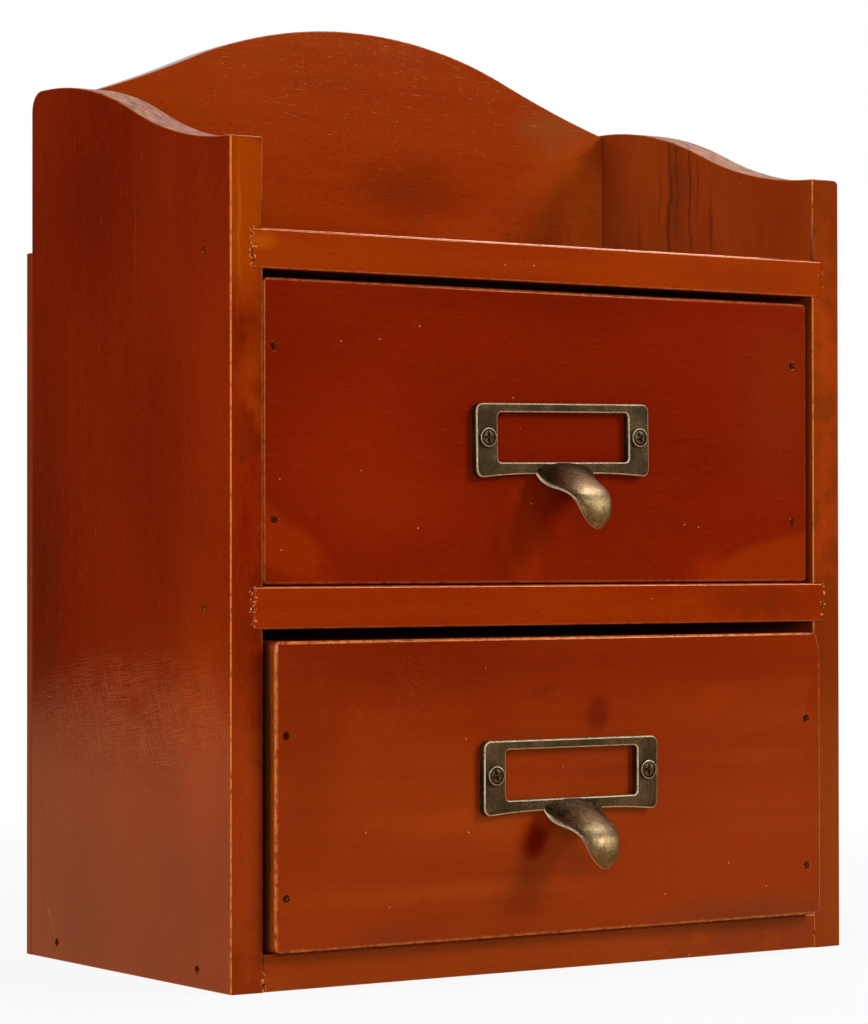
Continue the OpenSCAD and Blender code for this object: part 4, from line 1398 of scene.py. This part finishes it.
def crumbFinish(name, look):
    material = bpy.data.materials.new(name)
    material.use_nodes = True
    tree = material.node_tree
    shader = tree.nodes["Principled BSDF"]
    place = addNode(tree, "ShaderNodeTexCoord").outputs["Object"]
    vector = addVectorMath(tree, "SCALE", place, scale=1000.0)
    grit = addGroup(tree, gritGroup, Vector=vector, Size=look["gritSize"])
    tree.links.new(addMix(tree, grit["Mottle"], look["dark"], look["plain"]), shader.inputs["Base Color"])
    shader.inputs["Specular IOR Level"].default_value = 0.1
    tree.links.new(addRange(tree, grit["Grain"], 0.2, 0.8, look["rough"] - 0.1, look["rough"] + 0.1), shader.inputs["Roughness"])
    bump = addNode(tree, "ShaderNodeBump")
    bump.inputs["Distance"].default_value = 0.00005
    tree.links.new(grit["Grain"], bump.inputs["Height"])
    tree.links.new(bump.outputs["Normal"], shader.inputs["Normal"])
    return material


def crumbMesh(size):
    # Rough grain of filler, longer than wide
    shape = bmesh.new()
    bmesh.ops.create_icosphere(shape, subdivisions=1, radius=size / 1000)
    for i, vert in enumerate(shape.verts):
        vert.co = Vector((vert.co.x * 1.5, vert.co.y * 0.9, vert.co.z * 0.7)) * (1 + 0.25 * math.sin(7.3 * i))
    mesh = bpy.data.meshes.new("crumb")
    shape.to_mesh(mesh)
    shape.free()
    return mesh


def pathMesh(name, lines):
    mesh = bpy.data.meshes.new(name)
    points, edges = [], []
    for line in lines:
        first = len(points)
        points += [Vector(p) / 1000 for p in line]
        edges += [(first + i, first + i + 1) for i in range(len(line) - 1)]
    mesh.from_pydata(points, edges, [])
    return mesh


def ringAround(nodeName, face, radius):
    # Circle round a nail hole, on the board's face
    low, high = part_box(nodeName)
    middle = [1000 * (a + b) / 2 for a, b in zip(low, high)]
    turns = [math.radians(20 * i) for i in range(19)]
    if face[0] == "y":
        return [(middle[0] + radius * math.cos(a), face[1], middle[2] + radius * math.sin(a)) for a in turns]
    return [(face[1], middle[1] + radius * math.cos(a), middle[2] + radius * math.sin(a)) for a in turns]


def strew(name, lines, body, finish, look):
    settings = {
        "Part": look["part"],
        "Spacing": look["spacing"] / 1000,
        "Share": look["share"],
        "Spread": [v / 1000 for v in look["spread"]],
        "Size Spread": look["sizes"],
        "Seed": look["seed"],
        "Finish": finish,
    }
    piece = runTree(name, pathMesh(name, lines), crumbTree, settings)
    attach(piece, body)


fillerFinish = crumbFinish("pale filler", fillerLook)
pitShadeFinish = crumbFinish("painted pit shade", pitShadeLook)
fibreFinish = crumbFinish("torn fibre", fibreLook)
crumbPart = makePart("crumbPart", crumbMesh(0.2))
joint = {"part": crumbPart, "spacing": 0.11, "share": 0.46, "spread": (1.2, 0.08, 0.3), "sizes": 0.75, "seed": 11}
joint["slot"] = "case_wood"
edgeY = 1000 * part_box("left_side")[0][1]
jointLines = []
for shelf, pieces in (("top_shelf", 1.0), ("middle_shelf", 1.0), ("bottom_board", 0.5)):
    (leftX, _, lowZ), (rightX, _, highZ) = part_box(shelf)
    for x in (1000 * leftX, 1000 * rightX):
        jointLines.append([(x, edgeY, max(1000 * lowZ, 0.6)), (x, edgeY, 1000 * (lowZ + (highZ - lowZ) * pieces))])
leftLines, rightLines = jointLines[0::2], jointLines[1::2]
strew("leftJointFiller", leftLines, "case", fillerFinish, joint)
strew("leftJointPits", leftLines, "case", pitShadeFinish, dict(joint, seed=12, share=0.12, spread=(0.5, 0.03, 0.3)))
strew("rightJointFiller", rightLines, "case", fillerFinish, dict(joint, seed=13, share=0.12))
strew("rightJointPits", rightLines, "case", pitShadeFinish, dict(joint, seed=14, share=0.1, spread=(0.3, 0.03, 0.3)))
rim = {"part": crumbPart, "spacing": 0.3, "share": 0.32, "spread": (0.25, 0.05, 0.25), "sizes": 0.5, "seed": 21}
rim["slot"] = "case_wood"
for drawer, seed in (("upper", 22), ("lower", 23)):
    face = 1000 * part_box(drawer + "_drawer_front")[0][1]
    rings = [ringAround(name, ("y", face), 1.4) for name in named(drawer + "_front_brad")]
    settings = dict(rim, seed=seed, slot=drawer + "_front_wood")
    strew(drawer + "FrontFibres", rings, drawer + "_drawer", fibreFinish, settings)
sideX = 1000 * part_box("left_side")[0][0]
rings = [ringAround(name, ("x", sideX + 0.2), 1.35) for name in named("left_side_brad")]
rings += [ringAround(name, ("x", -sideX - 0.2), 1.35) for name in named("right_side_brad")]
# Dark crumbs round the side nail holes: painted shade of the holes.
strew("sideFibres", rings, "case", pitShadeFinish, dict(rim, spread=(0.03, 0.2, 0.2), share=0.4))
for part in (screwPart, bradPart, pinPart, crumbPart):
    bpy.data.objects.remove(part)
print("crumbs strewn")


# Floor, backdrop and light

studio = {
    "floorSize": 12.0,
    "reflectedFloorGlow": (1.0, 0.58, 0.3, 1.0),
    "floorReach": (1.4, 2.4),  # distances between which the floor fades in reflections
    "ambient": 0.2,
    "dim": 0.012,
    "paper": 0.62,  # how bright the backdrop is in reflections
    "backdrop": (5.0, 65.0),  # azimuths of the white backdrop, from the back towards the right
}


def makeFloor(look):
    mesh = bpy.data.meshes.new("floor")
    half = look["floorSize"]
    corners = [(-half, -half, 0), (half, -half, 0), (half, half, 0), (-half, half, 0)]
    mesh.from_pydata(corners, [], [(0, 1, 2, 3)])
    floor = bpy.data.objects.new("floor", mesh)
    bpy.context.scene.collection.objects.link(floor)
    material = bpy.data.materials.new("pale floor")
    material.use_nodes = True
    tree = material.node_tree
    tree.nodes.clear()
    out = addNode(tree, "ShaderNodeOutputMaterial")
    rays = addNode(tree, "ShaderNodeLightPath")
    matt = addNode(tree, "ShaderNodeBsdfDiffuse")
    matt.inputs["Color"].default_value = (0.34, 0.33, 0.32, 1)
    lit = addNode(tree, "ShaderNodeEmission")
    blend = addNode(tree, "ShaderNodeMixShader")
    place = addNode(tree, "ShaderNodeTexCoord").outputs["Object"]
    away = addVectorMath(tree, "LENGTH", place)
    lit.inputs["Strength"].default_value = 1.1
    white = addRange(tree, away, 0.3, 1.2, 0.82, 1.0)
    feed(tree, blend.inputs[0], addMath(tree, "MULTIPLY", rays.outputs["Is Camera Ray"], white))
    tree.links.new(matt.outputs[0], blend.inputs[1])
    tree.links.new(lit.outputs[0], blend.inputs[2])
    # Glossy rays see the floor as a warm glow fading with distance: it stands in for the reflection of a warm floor in
    # the varnish's low sheen.
    shine = addNode(tree, "ShaderNodeEmission")
    shine.inputs["Color"].default_value = look["reflectedFloorGlow"]
    near, far = look["floorReach"]
    feed(tree, shine.inputs["Strength"], addRange(tree, away, near, far, 1.0, look["dim"]))
    mirrored = addMath(tree, "MAXIMUM", rays.outputs["Is Glossy Ray"], rays.outputs["Is Transmission Ray"])
    final = addNode(tree, "ShaderNodeMixShader")
    feed(tree, final.inputs[0], mirrored)
    tree.links.new(blend.outputs[0], final.inputs[1])
    tree.links.new(shine.outputs[0], final.inputs[2])
    tree.links.new(final.outputs[0], out.inputs["Surface"])
    mesh.materials.append(material)


def makeWorld(look):
    # White to the camera; reflections see a white backdrop behind the object in a dim room
    world = bpy.data.worlds.new("studio")
    world.use_nodes = True
    bpy.context.scene.world = world
    tree = world.node_tree
    back = tree.nodes["Background"]
    rays = addNode(tree, "ShaderNodeLightPath")
    split = addNode(tree, "ShaderNodeSeparateXYZ")
    tree.links.new(addNode(tree, "ShaderNodeTexCoord").outputs["Generated"], split.inputs[0])
    azimuth = addMath(tree, "ARCTAN2", split.outputs["X"], split.outputs["Y"])
    low, high = (math.radians(a) for a in look["backdrop"])
    soft = math.radians(6)
    paper = addMath(
        tree, "MULTIPLY", addRange(tree, azimuth, low - soft, low), addRange(tree, azimuth, high + soft, high)
    )
    mirrored = addMath(tree, "MAXIMUM", rays.outputs["Is Glossy Ray"], rays.outputs["Is Transmission Ray"])
    room = addMath(tree, "ADD", addMath(tree, "MULTIPLY", paper, look["paper"] - look["dim"]), look["dim"])
    strength = addNode(tree, "ShaderNodeMix", data_type="FLOAT")
    feed(tree, strength.inputs[0], mirrored)
    feed(tree, strength.inputs[2], look["ambient"])
    feed(tree, strength.inputs[3], room)
    total = addNode(tree, "ShaderNodeMix", data_type="FLOAT")
    feed(tree, total.inputs[0], rays.outputs["Is Camera Ray"])
    tree.links.new(strength.outputs[0], total.inputs[2])
    feed(tree, total.inputs[3], 1.0)
    back.inputs["Color"].default_value = (1, 1, 1, 1)
    tree.links.new(total.outputs[0], back.inputs["Strength"])


lamps = {
    "key": {"at": (0.95, -1.1, 0.95), "size": (0.6, 0.6), "power": 19.0},
    "fill": {"at": (-1.6, 0.1, 1.0), "size": (0.9, 0.9), "power": 22.4},
    "overhead": {"at": (0.84, 0.12, 1.38), "size": (0.3, 0.3), "power": 9.5},
    "front": {"at": (-0.85, -1.3, 0.35), "size": (0.8, 0.4), "power": 5.6},
}


def makeLamps(looks):
    for name, look in looks.items():
        light = bpy.data.lights.new(name, "AREA")
        light.shape = "RECTANGLE"
        light.size, light.size_y = look["size"]
        light.energy = look["power"]
        lamp = bpy.data.objects.new(name, light)
        bpy.context.scene.collection.objects.link(lamp)
        lamp.location = look["at"]
        aim = Vector((0, 0, 0.15)) - Vector(look["at"])
        lamp.rotation_euler = aim.to_track_quat("-Z", "Y").to_euler()


makeFloor(studio)
makeWorld(studio)
makeLamps(lamps)
view = bpy.context.scene.view_settings
view.view_transform = "Standard"
print("studio made")
